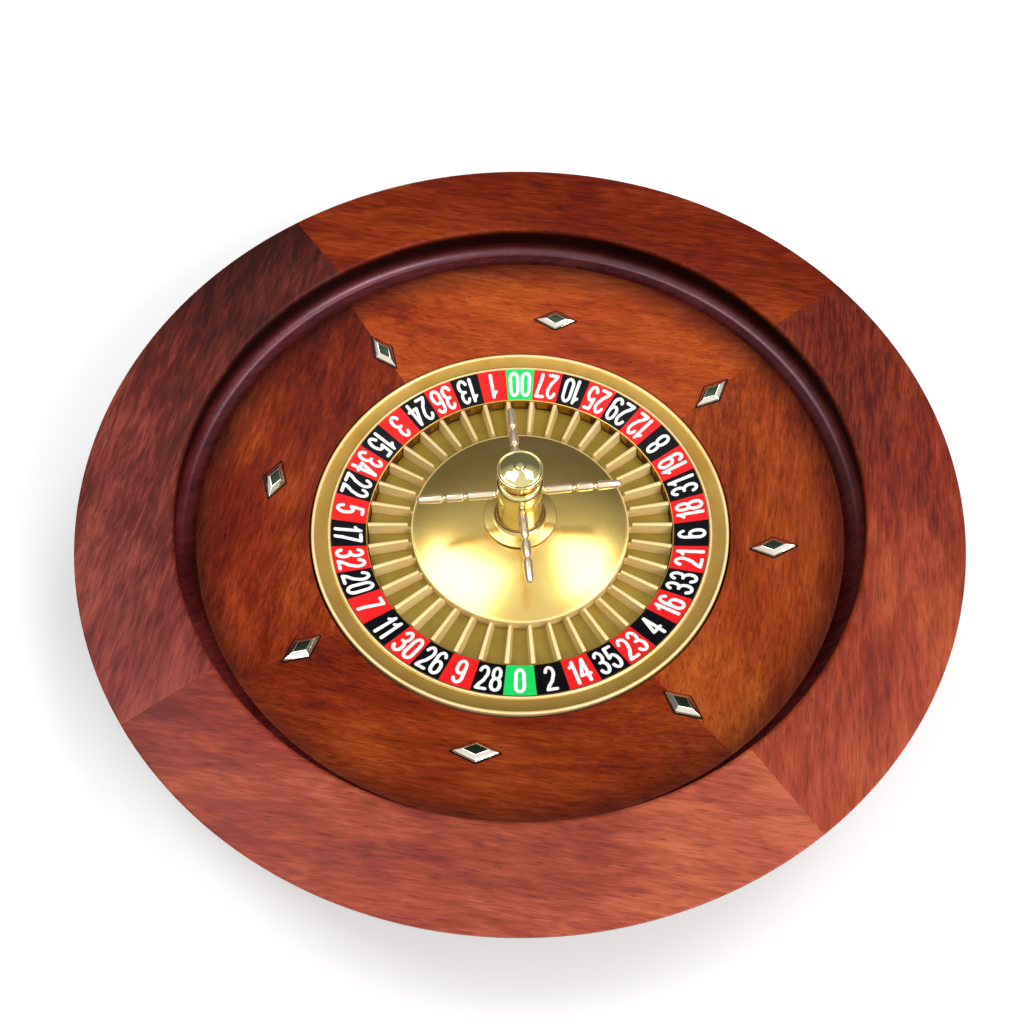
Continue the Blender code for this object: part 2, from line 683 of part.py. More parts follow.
def build_column(materials, rotor):
    """The turret's turned column, hollow over the hub's nose, drilled for the four arms and the knob."""
    column = [
        (TURRET_BORE, TURRET_BASE_BOTTOM),
        (TURRET_BASE_RADIUS, TURRET_BASE_BOTTOM),
        (TURRET_BASE_RADIUS, 52.6),
        (17.0, 54.2),
        (14.2, 56.6),
        (COLUMN_RADIUS - 0.5, 63.0),
        (COLUMN_RADIUS - 0.5, 80.0),
        (COLUMN_RADIUS + 0.2, 86.0),
        (COLUMN_RADIUS, 89.6),
        (11.8, COLUMN_TOP),
        (KNOB_STUD_RADIUS + 0.4, COLUMN_TOP),
        (KNOB_STUD_RADIUS + 0.4, KNOB_STUD_BOTTOM - 0.4),
        (0.0, KNOB_STUD_BOTTOM - 0.4),
        (0.0, TURRET_BORE_TOP),
        (TURRET_BORE, TURRET_BORE_TOP),
    ]
    # The wire starts at the blind hub hole's roof and ends at the blind knob hole's floor, on the axis.
    start = column.index((0.0, TURRET_BORE_TOP))
    wire = column[start:] + column[:start]
    body = turned("turret_column", wire, 24)
    body = place(body, body.name, materials["polished_brass"], rotor)
    holes = bmesh.new()
    for angle in arm_angles():
        out = Matrix.Rotation(math.radians(angle), 4, "Z") @ Matrix.Rotation(math.pi / 2, 4, "Y")
        middle = Matrix.Translation(Vector((0.0, 0.0, 12.0)) * MM)
        bmesh.ops.create_cone(
            holes,
            cap_ends=True,
            segments=8,
            radius1=(ARM_STUD_RADIUS + 0.4) * MM,
            radius2=(ARM_STUD_RADIUS + 0.4) * MM,
            depth=2 * (12.0 - ARM_HOLE_DEPTH) * MM,
            matrix=Matrix.Translation((0.0, 0.0, ARM_HEIGHT * MM)) @ out @ middle,
        )
    drill(body, mesh_of(holes, "arm_drill"), rotor)


def arm_angles():
    return [ARM_TURN + 90.0 * k for k in range(4)]


def build_arms(materials, rotor):
    """Four beaded arms, each turned in one piece with the stud that screws into the column."""
    arm = [
        (0.0, ARM_HOLE_DEPTH + FIT),
        (ARM_STUD_RADIUS, ARM_HOLE_DEPTH + FIT),
        (ARM_STUD_RADIUS, COLUMN_RADIUS + 0.4),
        (2.8, COLUMN_RADIUS + 0.6),
        (2.6, 29.5),
        (1.5, 31.6),
        (2.7, 34.0),
        (2.5, 42.0),
        (1.5, 44.0),
        (2.8, 46.4),
        (2.2, ARM_TIP_RADIUS - 1.2),
        (0.0, ARM_TIP_RADIUS),
    ]
    mesh = turned("turret_arm", arm, 8)
    outwards = Matrix.Rotation(math.pi / 2, 4, "Y")
    for number, angle in enumerate(arm_angles(), 1):
        turn = Matrix.Rotation(math.radians(angle), 4, "Z")
        matrix = Matrix.Translation((0.0, 0.0, ARM_HEIGHT * MM)) @ turn @ outwards
        place(mesh, f"turret_arm_{number}", materials["polished_brass"], rotor, matrix)


def build_knob(materials, rotor):
    """The domed knob on its neck, with the stud that screws into the column."""
    knob = [
        (0.0, KNOB_STUD_BOTTOM),
        (KNOB_STUD_RADIUS, KNOB_STUD_BOTTOM),
        (KNOB_STUD_RADIUS, COLUMN_TOP + FIT),
        (10.4, COLUMN_TOP + FIT),
        (10.0, 95.4),
        (12.4, 96.4),
        (12.9, 98.0),
        (12.0, 99.4),
        (9.6, 103.0),
        (5.4, 105.5),
        (0.0, 106.4),
    ]
    place(turned("turret_knob", knob, 20), "turret_knob", materials["polished_brass"], rotor)


def main():
    clear_scene()
    materials = {
        "rim_wood": finish("rim_wood", (0.31, 0.085, 0.045), 0.4),
        "cone_wood": finish("cone_wood", (0.36, 0.11, 0.04), 0.38),
        "track_wood": finish("track_wood", (0.06, 0.012, 0.02), 0.2),
        "wall_wood": finish("wall_wood", (0.22, 0.06, 0.035), 0.4),
        "base_wood": finish("base_wood", (0.05, 0.035, 0.03), 0.7),
        "rotor_wood": finish("rotor_wood", (0.09, 0.05, 0.03), 0.5),
        "rubber": finish("rubber", (0.02, 0.02, 0.02), 0.8),
        "steel": finish("steel", (0.56, 0.56, 0.57), 0.3, 1.0),
        "deflector_metal": finish("deflector_metal", (0.78, 0.74, 0.62), 0.15, 1.0),
        "satin_brass": finish("satin_brass", (0.62, 0.46, 0.2), 0.32, 1.0),
        "polished_brass": finish("polished_brass", (0.78, 0.62, 0.3), 0.14, 1.0),
        "number_enamel": finish("number_enamel", (0.02, 0.02, 0.02), 0.3),
    }
    bowl = bpy.data.objects.new("bowl", None)
    rotor = bpy.data.objects.new("rotor", None)
    for empty in (bowl, rotor):
        bpy.context.scene.collection.objects.link(empty)
    build_rim(materials, bowl)
    build_ball_track(materials, bowl)
    build_cone(materials, bowl)
    build_deflectors(materials, bowl)
    build_wall(materials, bowl)
    build_base(materials, bowl)
    build_spindle(materials, bowl)
    build_bearings(materials, bowl, rotor)
    build_plate(materials, rotor)
    build_flange_and_band(materials, rotor)
    build_pocket_ring(materials, rotor)
    build_dome(materials, rotor)
    build_hub(materials, rotor)
    build_column(materials, rotor)
    build_arms(materials, rotor)
    build_knob(materials, rotor)


main()
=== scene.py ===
"""The looks of a wooden table roulette wheel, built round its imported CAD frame.

The frame gives every body and the main sizes. Lengths here are in millimetres and are turned into
metres by MM. The fine pieces ride on the bodies "bowl" and "rotor" and stand for the plain solids.
"""

import math

import bmesh
import bpy
from mathutils import Matrix, Vector


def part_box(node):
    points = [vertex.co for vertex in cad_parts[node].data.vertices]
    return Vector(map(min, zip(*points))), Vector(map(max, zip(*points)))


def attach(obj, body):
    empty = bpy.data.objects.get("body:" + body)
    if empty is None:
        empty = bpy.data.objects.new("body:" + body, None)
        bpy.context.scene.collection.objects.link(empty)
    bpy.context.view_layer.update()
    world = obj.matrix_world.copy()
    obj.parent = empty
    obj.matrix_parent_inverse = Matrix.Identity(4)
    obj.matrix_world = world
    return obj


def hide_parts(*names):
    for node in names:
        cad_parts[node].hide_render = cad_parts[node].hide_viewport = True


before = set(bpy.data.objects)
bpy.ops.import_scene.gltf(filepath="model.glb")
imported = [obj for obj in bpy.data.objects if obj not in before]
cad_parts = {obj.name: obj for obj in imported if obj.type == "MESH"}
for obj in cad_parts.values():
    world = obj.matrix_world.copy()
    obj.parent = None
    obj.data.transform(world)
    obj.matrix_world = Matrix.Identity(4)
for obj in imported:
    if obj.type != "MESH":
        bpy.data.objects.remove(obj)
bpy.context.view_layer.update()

MM = 0.001


def reach(node):
    """Outer radius of a turned CAD node, in millimetres."""
    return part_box(node)[1].x / MM


def top(node):
    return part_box(node)[1].z / MM


def bottom(node):
    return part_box(node)[0].z / MM


# The bowl
SIDES = {"back": 36.0, "left": 126.0, "front": 216.0, "right": 306.0}
SEGMENT_ANGLE = 90.0
GLUE_LINE = 0.05
RIM_RADIUS = reach("rim_segment_right")
RIM_TOP = top("rim_segment_back")
RIM_UNDERSIDE = bottom("rim_segment_back")
RIM_INNER_RADIUS = 195.8
RIM_EDGE = 3.6
RIM_LIP = 6.0
RIM_LEDGE_RADIUS = 208.0
TRACK_FOOT_RADIUS = 187.0
TRACK_FOOT_HEIGHT = 64.0
TRACK_FOOT_SETBACK = 2.2
TRACK_FOOT_RISE = 1.4
TRACK_COVE = 5.0
TRACK_COVE_BULGE = 1.5
CONE_INNER_RADIUS = 127.0
CONE_INNER_HEIGHT = 48.0
CONE_THICKNESS = 9.0
WALL_FOOT_RADIUS = 174.0
WALL_TOP_INNER_RADIUS = 222.0
BASE_RADIUS = reach("base_board")
BASE_TOP = top("base_board")
BASE_BOTTOM = bottom("base_board")
FOOT_CIRCLE = 140.0
FOOT_RADIUS = 14.0
FOOT_RECESS_RADIUS = 5.0
FOOT_RECESS_DEPTH = 3.2
SPINDLE_SCREW_CIRCLE = 38.0
SCREW_HOLE_RADIUS = 2.2

# The deflectors: heights out of the wood, and each layer's share of the outline
DEFLECTOR_CIRCLE = 150.5
DEFLECTOR_LENGTH = 25.0
DEFLECTOR_WIDTH = 12.6
DEFLECTOR_LIFT = 0.35
DEFLECTOR_DARK_RIM = 0.7
DEFLECTOR_DARK_RIM_SHARE = 1.16
DEFLECTOR_SKIRT = 1.4
DEFLECTOR_HEIGHT = 3.6
DEFLECTOR_CROWN_SHARE = 0.56
DEFLECTOR_EASE = 0.28
# (place on the circle, whether it lies along the ball's way, how far askew), in degrees
DEFLECTORS = [
    (36.0, False, 3.0),
    (81.0, True, 5.0),
    (126.0, False, 4.0),
    (171.0, True, -2.0),
    (216.0, False, 9.0),
    (261.0, True, 7.0),
    (306.0, False, 9.0),
    (351.0, False, 5.0),
]

# The rotor
NUMBERS = (
    "0 28 9 26 30 11 7 20 32 17 5 22 34 15 3 24 36 13 1 "
    "00 27 10 25 29 12 8 19 31 18 6 21 33 16 4 23 35 14 2"
).split()
REDS = set("1 3 5 7 9 12 14 16 18 19 21 23 25 27 30 32 34 36".split())
GREENS = {"0", "00"}
PITCH = 360.0 / len(NUMBERS)
FIRST_POCKET = 270.0
FLANGE_RADIUS = reach("flange_ring")
FLANGE_INNER_RADIUS = 113.5
FLANGE_FALL = 1.3
BAND_OUTER_RADIUS = 113.3
BAND_INNER_RADIUS = 92.4
BAND_OUTER_HEIGHT = 47.6
BAND_INNER_HEIGHT = 42.1
BAND_THICKNESS = 1.1
BAND_MARGIN = 0.55
BAND_SKIRT = 0.9
BAND_STEPS_PER_FIELD = 8
POCKET_OUTER_RADIUS = 91.9
POCKET_INNER_RADIUS = 66.3
POCKET_FLOOR = 34.0
POCKET_BOTTOM = bottom("pocket_ring")
FRET_TOP = top("pocket_ring")
FRET_ANGLE = 3.0
FRET_CREST_SHARE = 0.5
FRET_END_LENGTH = 1.3
FRET_END_SHARE = 0.45
DOME_RADIUS = 66.0
DOME_EDGE_RADIUS = 62.8
DOME_HOLE_RADIUS = 11.2
DOME_CROWN = 51.0
DOME_CURVATURE = 226.8
DOME_THICKNESS = 1.8
DOME_STEPS = 40

# The numerals. Pen, widths and gap are shares of a digit's height.
NUMERAL_HEIGHT = 16.8
NUMERAL_OUTWARD = 0.45
NUMERAL_RELIEF = 0.06
PEN = 0.12
DIGIT_WIDTH = 0.395
DIGIT_GAP = 0.05
ONE_WIDTH = 0.26
CAP_STEPS = 7

# The turret
TURRET_BASE_BOTTOM = bottom("turret_column")
TURRET_BASE_RADIUS = reach("turret_column")
COLUMN_RADIUS = 13.4
COLUMN_BORE_RADIUS = 10.9
COLUMN_TOP = top("turret_column")
ARM_HEIGHT = 78.4
ARM_TURN = 5.5
ARM_STUD_RADIUS = 1.6
ARM_STUD_START = 8.4
ARM_HOLE_RADIUS = 1.9
ARM_HOLE_LENGTH = 8.0
ARM_HOLE_MIDDLE = 12.5
ARM_TIP_RADIUS = 59.5
KNOB_CROWN_EDGE = 101.5
KNOB_CROWN_RISE = 3.3
KNOB_CROWN_RADIUS = 12.4
KNOB_TOP = top("turret_knob")

# How fine the round pieces are
WIDE_SIDES = 288
NARROW_SIDES = 96
ARM_SIDES = 48
BAR_SIDES = 32
ROUNDING_STEPS = 4
SMOOTH_UP_TO = 32.0

# The lights and the camera, in metres and degrees
SOFTBOX_HEIGHT = 2.09
SOFTBOX_RADIANCE = 5.0
# (name, place across, place along, width, depth, turn)
SOFTBOXES = [
    ("softbox_left", -0.86, 0.36, 1.30, 0.70, -33.0),
    ("softbox_right", 0.88, 0.48, 0.78, 0.84, 8.0),
]
KEY_PLACE = (1.7, -1.6, 1.75)
KEY_AIM = (0.0, 0.0, 0.06)
KEY_SIZE = 1.3
KEY_RADIANCE = 8.5
# How bright the studio is away from its bright side (0), across it, and towards it (1)
STUDIO_BRIGHT_SIDE = (0.0, -0.6, 0.8)
STUDIO_LEVELS = [(0.0, 0.16), (0.1, 0.19), (0.24, 0.40), (0.8, 0.84), (1.0, 0.9)]
STUDIO_STRENGTH = 1.08
CAMERA_PLACE = (0.0, -0.3665, 0.6616)
CAMERA_DOWN = 58.82
CAMERA_LENS = 41.84
CAMERA_SENSOR = 36.0
CAMERA_SHIFT = -0.0078


# ---- shape helpers


def arc(start, end, bulge, steps):
    """Points from start to end on an arc that bulges this far to the right of the way it goes."""
    start, end = Vector(start), Vector(end)
    half = (end - start) / 2
    radius = (half.length_squared + bulge**2) / (2 * bulge)
    right = Vector((half.y, -half.x)).normalized()
    centre = start + half + right * (bulge - radius)
    sweep = 2 * math.asin(min(1.0, half.length / radius))
    turns = [Matrix.Rotation(sweep * k / steps, 2) for k in range(steps + 1)]
    return [tuple(centre + turn @ (start - centre)) for turn in turns]


def rounded(profile, closed=True):
    """A profile with its corners rounded: a corner is (radius, height, rounding)."""
    points = []
    count = len(profile)
    for k, corner in enumerate(profile):
        at = Vector(corner[:2])
        inner = closed or 0 < k < count - 1
        if len(corner) < 3 or not inner:
            points.append(at)
            continue
        before = Vector(profile[k - 1][:2]) - at
        after = Vector(profile[(k + 1) % count][:2]) - at
        cut = min(corner[2], 0.48 * before.length, 0.48 * after.length)
        start, end = at + before.normalized() * cut, at + after.normalized() * cut
        for step in range(ROUNDING_STEPS + 1):
            t = step / ROUNDING_STEPS
            points.append(start * (1 - t) ** 2 + at * 2 * t * (1 - t) + end * t**2)
    return points


def finished(bm, name, smooth=SMOOTH_UP_TO):
    """A bmesh as a mesh with its faces outwards and its round faces smooth."""
    bmesh.ops.remove_doubles(bm, verts=bm.verts, dist=2e-7)
    bmesh.ops.recalc_face_normals(bm, faces=bm.faces)
    mesh = bpy.data.meshes.new(name)
    bm.to_mesh(mesh)
    bm.free()
    mesh.shade_smooth()
    mesh.set_sharp_from_angle(angle=math.radians(smooth))
    return mesh


def placed(name, data):
    """A new object in the scene."""
    obj = bpy.data.objects.new(name, data)
    bpy.context.scene.collection.objects.link(obj)
    return obj


def section_ring(bm, section, angle):
    """A section's (radius, height) points as corners, turned about the axis by an angle in radians."""
    c, s = math.cos(angle), math.sin(angle)
    return [bm.verts.new(Vector((r * c, r * s, z)) * MM) for r, z in section]


def bridge(bm, ring, following, count=None):
    """The faces between two rings of corners."""
    faces = []
    for k in range(count or len(ring)):
        nxt = (k + 1) % len(ring)
        faces.append(bm.faces.new((ring[k], ring[nxt], following[nxt], following[k])))
    return faces


def lathe(name, profile, sides=WIDE_SIDES, start=0.0, sweep=360.0):
    """A turned solid from a rounded profile, or one sector of it with flat ends."""
    axial = profile[0][0] == 0.0 and profile[-1][0] == 0.0
    points = rounded(profile, closed=not axial)
    whole = sweep > 359.99
    steps = sides if whole else max(2, round(sides * sweep / 360.0))
    bm = bmesh.new()
    rings = []
    for k in range(steps if whole else steps + 1):
        angle = math.radians(start + sweep * k / steps)
        across = Vector((math.cos(angle), math.sin(angle), 0.0))
        rings.append([bm.verts.new((across * p.x + Vector((0.0, 0.0, p.y))) * MM) for p in points])
    pairs = list(zip(rings, rings[1:])) + ([(rings[-1], rings[0])] if whole else [])
    last = len(points) - 1 if axial else len(points)
    for ring, following in pairs:
        bridge(bm, ring, following, last)
    if not whole:
        bm.faces.new(rings[0])
        bm.faces.new(list(reversed(rings[-1])))
    bmesh.ops.dissolve_degenerate(bm, edges=bm.edges, dist=1e-7)
    return finished(bm, name)


def piece(name, mesh, finishes, body, slot, *nodes, matrix=None):
    """A visible piece on a body, with its finishes, standing for CAD nodes."""
    obj = placed(name, mesh)
    if not mesh.materials:
        for finish in finishes:
            mesh.materials.append(finish)
    obj.matrix_world = matrix or Matrix()
    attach(obj, body)
    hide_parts(*nodes)
    return obj


def apply_modifiers(obj):
    """Makes an object's evaluated mesh its own mesh, with no modifiers left."""
    bpy.context.view_layer.update()
    graph = bpy.context.evaluated_depsgraph_get()
    mesh = bpy.data.meshes.new_from_object(obj.evaluated_get(graph), depsgraph=graph)
    obj.modifiers.clear()
    obj.data = mesh


def cone_height(radius):
    run = TRACK_FOOT_RADIUS - CONE_INNER_RADIUS
    rise = TRACK_FOOT_HEIGHT - CONE_INNER_HEIGHT
    return CONE_INNER_HEIGHT + rise * (radius - CONE_INNER_RADIUS) / run


def band_height(radius):
    run = BAND_OUTER_RADIUS - BAND_INNER_RADIUS
    rise = BAND_OUTER_HEIGHT - BAND_INNER_HEIGHT
    return BAND_INNER_HEIGHT + rise * (radius - BAND_INNER_RADIUS) / run


def dome_height(radius):
    return DOME_CROWN - DOME_CURVATURE + math.sqrt(DOME_CURVATURE**2 - radius**2)


# ---- material helpers


def linear(red, green, blue):
    """A colour given as 0 to 255 display values, in linear light."""
    shares = [value / 255.0 for value in (red, green, blue)]
    return [s / 12.92 if s <= 0.04045 else ((s + 0.055) / 1.055) ** 2.4 for s in shares]


def fill_ramp(ramp, stops):
    """Gives a colour ramp its stops: (position, colour in linear light)."""
    points = ramp.elements
    while len(points) < len(stops):
        points.new(0.5)
    for point, (position, colour) in zip(points, stops):
        point.position = position
        point.color = (*colour, 1.0)


class Finish:
    """A node material. Most methods add a node and give its output."""

    def __init__(self, name, **values):
        self.material = bpy.data.materials.new(name)
        self.material.use_nodes = True
        self.tree = self.material.node_tree
        self.shader = self.tree.nodes["Principled BSDF"]
        self.set(**values)

    def set(self, **values):
        for name, value in values.items():
            self.fill(self.shader.inputs[name.replace("_", " ")], value)

    def fill(self, socket, value):
        if isinstance(value, bpy.types.NodeSocket):
            self.tree.links.new(value, socket)
        elif socket.type == "RGBA":
            socket.default_value = (*value[:3], 1.0)
        else:
            socket.default_value = value

    def add(self, kind, inputs, **settings):
        node = self.tree.nodes.new(kind)
        for name, value in settings.items():
            setattr(node, name, value)
        for key, value in inputs.items():
            self.fill(node.inputs[key], value)
        return node

    def place(self, turn=0.0, stretch=(1.0, 1.0, 1.0), shift=(0.0, 0.0, 0.0)):
        """The piece's own coordinates in metres, turned about Z, stretched and shifted."""
        at = self.add("ShaderNodeTexCoord", {}).outputs["Object"]
        inputs = {"Vector": at, "Angle": -math.radians(turn)}
        along = self.add("ShaderNodeVectorRotate", inputs, rotation_type="Z_AXIS").outputs["Vector"]
        inputs = {"Vector": along, "Scale": stretch, "Location": shift}
        return self.add("ShaderNodeMapping", inputs).outputs["Vector"]

    def polar(self, along):
        """Coordinates wound round the axis: drawn out round the circle, and rising outwards and upwards."""
        at = self.add("ShaderNodeTexCoord", {}).outputs["Object"]
        parts = self.add("ShaderNodeSeparateXYZ", {"Vector": at}).outputs
        flat = self.add("ShaderNodeCombineXYZ", {"X": parts["X"], "Y": parts["Y"]}).outputs[0]
        radius = self.vector("LENGTH", {0: flat}, "Value")
        unit = self.vector("NORMALIZE", {0: flat})
        circling = self.vector("SCALE", {0: unit, 3: along})
        out = self.math("ADD", radius, parts["Z"])
        rise = self.add("ShaderNodeCombineXYZ", {"Z": out}).outputs[0]
        return self.vector("ADD", {0: circling, 1: rise})

    def vector(self, operation, inputs, output="Vector"):
        return self.add("ShaderNodeVectorMath", inputs, operation=operation).outputs[output]

    def part(self, axis, vector):
        return self.add("ShaderNodeSeparateXYZ", {"Vector": vector}).outputs[axis]

    def radius(self):
        """Distance from the wheel's axis, in metres."""
        at = self.place(stretch=(1.0, 1.0, 0.0))
        return self.vector("LENGTH", {0: at}, "Value")

    def noise(self, vector, scale, detail=3.0, roughness=0.5, distortion=0.0):
        inputs = {"Vector": vector, "Scale": scale, "Detail": detail, "Roughness": roughness}
        inputs["Distortion"] = distortion
        return self.add("ShaderNodeTexNoise", inputs).outputs["Fac"]

    def math(self, operation, first, second=0.0, clamp=False):
        node = self.add("ShaderNodeMath", {0: first, 1: second}, operation=operation, use_clamp=clamp)
        return node.outputs[0]

    def spread(self, value, low, high, least=0.0, most=1.0):
        """Stretches the range low to high onto least to most."""
        return self.add(
            "ShaderNodeMapRange",
            {"Value": value, "From Min": low, "From Max": high, "To Min": least, "To Max": most},
        ).outputs["Result"]

    def ramp(self, factor, stops):
        node = self.add("ShaderNodeValToRGB", {"Fac": factor})
        fill_ramp(node.color_ramp, [(position, linear(*colour)) for position, colour in stops])
        return node.outputs["Color"]

    def mix(self, factor, first, second, blend="MIX"):
        node = self.add("ShaderNodeMix", {}, data_type="RGBA", blend_type=blend)
        self.fill(node.inputs["Factor"], factor)
        self.fill(node.inputs[6], first)
        self.fill(node.inputs[7], second)
        return node.outputs[2]

    def bump(self, height, depth, strength=1.0):
        """Raises the surface by the height value times depth in millimetres."""
        node = self.add("ShaderNodeBump", {"Height": height, "Distance": depth * MM, "Strength": strength})
        self.set(Normal=node.outputs["Normal"])


# ---- finishes


REDDER = (0.86, 0.66, 0.74)
PORE = (150, 120, 110)
# A wood's tone in layers: (stretch along the grain, size across it per metre, detail, distortion, weight)
GRAIN = [
    (0.45, 11.0, 3.0, 0.5, 1.00),
    (0.25, 46.0, 4.0, 1.2, 0.80),
    (0.22, 150.0, 3.0, 1.6, 0.60),
    (0.14, 420.0, 2.0, 0.6, 0.65),
    (0.05, 1300.0, 2.0, 0.0, 0.55),
]


def wood(name, grain, colours, shift, shade_lean=0.0, gloss=0.42, sheen=0.3, tint=(1.0, 0.8, 0.76)):
    """Stained mahogany under a satin lacquer.

    Broad clouds, a ribbon figure, short flecks, fibres and dark pores all run along the grain.
    A lean above nought paints shade towards the far end of the grain, below nought towards its near end.
    The Finish keeps its colour for shaded().
    """
    made = Finish(name, Specular_IOR_Level=sheen, Specular_Tint=tint)
    tone = 0.5
    for number, (stretch, scale, detail, distortion, weight) in enumerate(GRAIN):
        at = made.place(grain, (stretch, 1.0, 1.0), (shift * (1.0 + number), shift * 0.37, 0.1 * number))
        figure = made.noise(at, scale, detail, 0.55, distortion)
        tone = made.math("ADD", tone, made.math("MULTIPLY", made.math("SUBTRACT", figure, 0.5), weight))
    along = made.part("X", made.place(grain))
    tone = made.math("SUBTRACT", tone, made.math("MULTIPLY", along, shade_lean), clamp=True)
    streak = made.noise(made.place(grain, (0.07, 1.0, 1.0), (shift, 0.0, 0.0)), 1500.0, 1.0, 0.5)
    pore = made.spread(streak, 0.60, 0.70)
    body = made.ramp(tone, colours)
    patch = made.noise(made.place(grain, (0.4, 1.0, 1.0), (shift, 2.0, 0.0)), 26.0, 3.0, 0.55, 0.8)
    redder = made.mix(1.0, body, REDDER, "MULTIPLY")
    body = made.mix(made.spread(patch, 0.42, 0.62), body, redder)
    dark = made.mix(1.0, body, linear(*PORE), "MULTIPLY")
    made.colour = made.mix(made.math("MULTIPLY", pore, 0.6), body, dark)
    made.set(Base_Color=made.colour)
    made.set(Roughness=made.spread(figure, 0.3, 0.7, gloss - 0.05, gloss + 0.07))
    made.bump(made.math("SUBTRACT", figure, made.math("MULTIPLY", pore, 0.8)), 0.02, 0.35)
    return made


def shaded(made, value, dark_at, clear_at, share):
    """Paints shade: darkens a wood to a share of its colour as value goes from clear_at to dark_at."""
    painted_shade = made.spread(value, dark_at, clear_at, share, 1.0)
    grey = made.add("ShaderNodeCombineColor", {0: painted_shade, 1: painted_shade, 2: painted_shade}).outputs[0]
    made.colour = made.mix(1.0, made.colour, grey, "MULTIPLY")
    made.set(Base_Color=made.colour)


def gold(
    name, colour, shade, roughness, turning, smudge=0.05, marks=0.004, metal=1.0, lacquer=0.0, haze=0.5
):
    """Gold plating over turned brass: faint turning marks, a soft mottle and a few smudges.

    colour and shade are its lighter and darker patches, turning its marks per metre and marks their
    depth. haze is the roughness of the lacquer as a share of the metal's.
    """
    made = Finish(name, Metallic=metal, Coat_Weight=lacquer, Coat_Roughness=roughness * haze, Coat_IOR=2.0)
    rings = made.noise(made.polar(0.02), turning, 2.0, 0.6)
    cloud = made.noise(made.place(), 38.0, 4.0, 0.6, 0.5)
    smear = made.noise(made.place(25.0, (1.0, 0.25, 1.0)), 120.0, 3.0, 0.6, 0.8)
    made.set(Base_Color=made.mix(made.spread(cloud, 0.3, 0.7), linear(*shade), linear(*colour)))
    rough = made.spread(smear, 0.35, 0.75, roughness - smudge * 0.5, roughness + smudge)
    made.set(Roughness=made.math("ADD", rough, made.math("MULTIPLY", rings, smudge * 0.4)))
    made.bump(rings, marks, 0.5)
    return made.material


def steel():
    """Machined steel with turning marks."""
    colour, roughness = (176, 178, 182), 0.28
    made = Finish("steel", Metallic=1.0)
    rings = made.noise(made.polar(0.03), 2600.0, 2.0, 0.6)
    cloud = made.noise(made.place(), 90.0, 3.0, 0.6)
    darker = [value * 0.82 for value in linear(*colour)]
    made.set(Base_Color=made.mix(cloud, darker, linear(*colour)))
    made.set(Roughness=made.spread(rings, 0.3, 0.7, roughness - 0.05, roughness + 0.1))
    made.bump(rings, 0.006, 0.5)
    return made.material


def enamel(name, colour, roughness=0.32):
    """Printed enamel: an even colour, a faint orange-peel skin and a little unevenness."""
    made = Finish(name, Specular_IOR_Level=0.1)
    cloud = made.noise(made.place(), 260.0, 4.0, 0.6)
    peel = made.noise(made.place(), 1500.0, 2.0, 0.5)
    darker = [value * 0.84 for value in linear(*colour)]
    made.set(Base_Color=made.mix(made.spread(cloud, 0.3, 0.7), darker, linear(*colour)))
    made.set(Roughness=made.spread(cloud, 0.3, 0.7, roughness - 0.05, roughness + 0.06))
    made.bump(peel, 0.01, 0.4)
    return made.material


def rubber():
    """Moulded black rubber with a fine grain and dust in it."""
    made = Finish("rubber")
    grain = made.noise(made.place(), 2400.0, 3.0, 0.6)
    dust = made.noise(made.place(), 140.0, 4.0, 0.7)
    made.set(Base_Color=made.mix(made.spread(dust, 0.45, 0.8), linear(26, 26, 27), linear(58, 56, 54)))
    made.set(Roughness=made.spread(dust, 0.3, 0.7, 0.62, 0.85))
    made.bump(grain, 0.05, 0.5)
    return made.material


# Boards of the rim and the cone: (grain direction in degrees, place in the wood).
# The tones are a wood's dark, middle and light: (share, display colour).
BOARDS = {"back": (-9.0, 0.0), "left": (81.0, 3.1), "front": (-9.0, 5.7), "right": (81.0, 8.4)}
RIM_TONES = {
    "back": [(0.1, (62, 12, 2)), (0.5, (108, 32, 6)), (0.9, (144, 56, 16))],
    "left": [(0.1, (50, 12, 7)), (0.5, (92, 33, 23)), (0.9, (144, 66, 52))],
    "front": [(0.1, (104, 32, 20)), (0.5, (147, 61, 39)), (0.9, (182, 92, 60))],
    "right": [(0.1, (74, 18, 8)), (0.5, (130, 48, 24)), (0.9, (170, 78, 46))],
}
CONE_TONES = {
    "back": [(0.1, (112, 34, 8)), (0.5, (156, 64, 18)), (0.9, (186, 90, 34))],
    "left": [(0.1, (76, 16, 2)), (0.5, (118, 40, 10)), (0.9, (158, 68, 28))],
    "front": [(0.1, (92, 26, 6)), (0.5, (134, 50, 16)), (0.9, (168, 78, 30))],
    "right": [(0.1, (104, 32, 8)), (0.5, (152, 64, 22)), (0.9, (184, 90, 38))],
}
# How much painted shade darkens each board along its grain: the side boards towards the back,
# the front board towards its left end. Then how glossy the rim's boards are
SHADE_LEAN = {"back": 0.0, "left": 2.5, "front": -1.3, "right": 1.8}
RIM_SHEEN = {"back": 0.12, "left": 0.22, "front": 0.26, "right": 0.18}
CONE_SHEEN = 0.1
# Painted shade on the cone by the track: (how wide, the share of its colour that the wood keeps)
TRACK_EDGE_SHADE = {"back": (17.0, 0.3), "left": (14.0, 0.4), "front": (13.0, 0.62), "right": (13.0, 0.45)}


def rim_wood(side):
    """A rim board, darkened below its top face: painted shade on its rounded edges and all under them."""
    grain, shift = BOARDS[side]
    made = wood(f"rim_wood_{side}", grain, RIM_TONES[side], shift, SHADE_LEAN[side], sheen=RIM_SHEEN[side])
    shaded(made, made.part("Z", made.place()), (RIM_TOP - RIM_EDGE) * MM, (RIM_TOP - 0.5) * MM, 0.1)
    return made.material


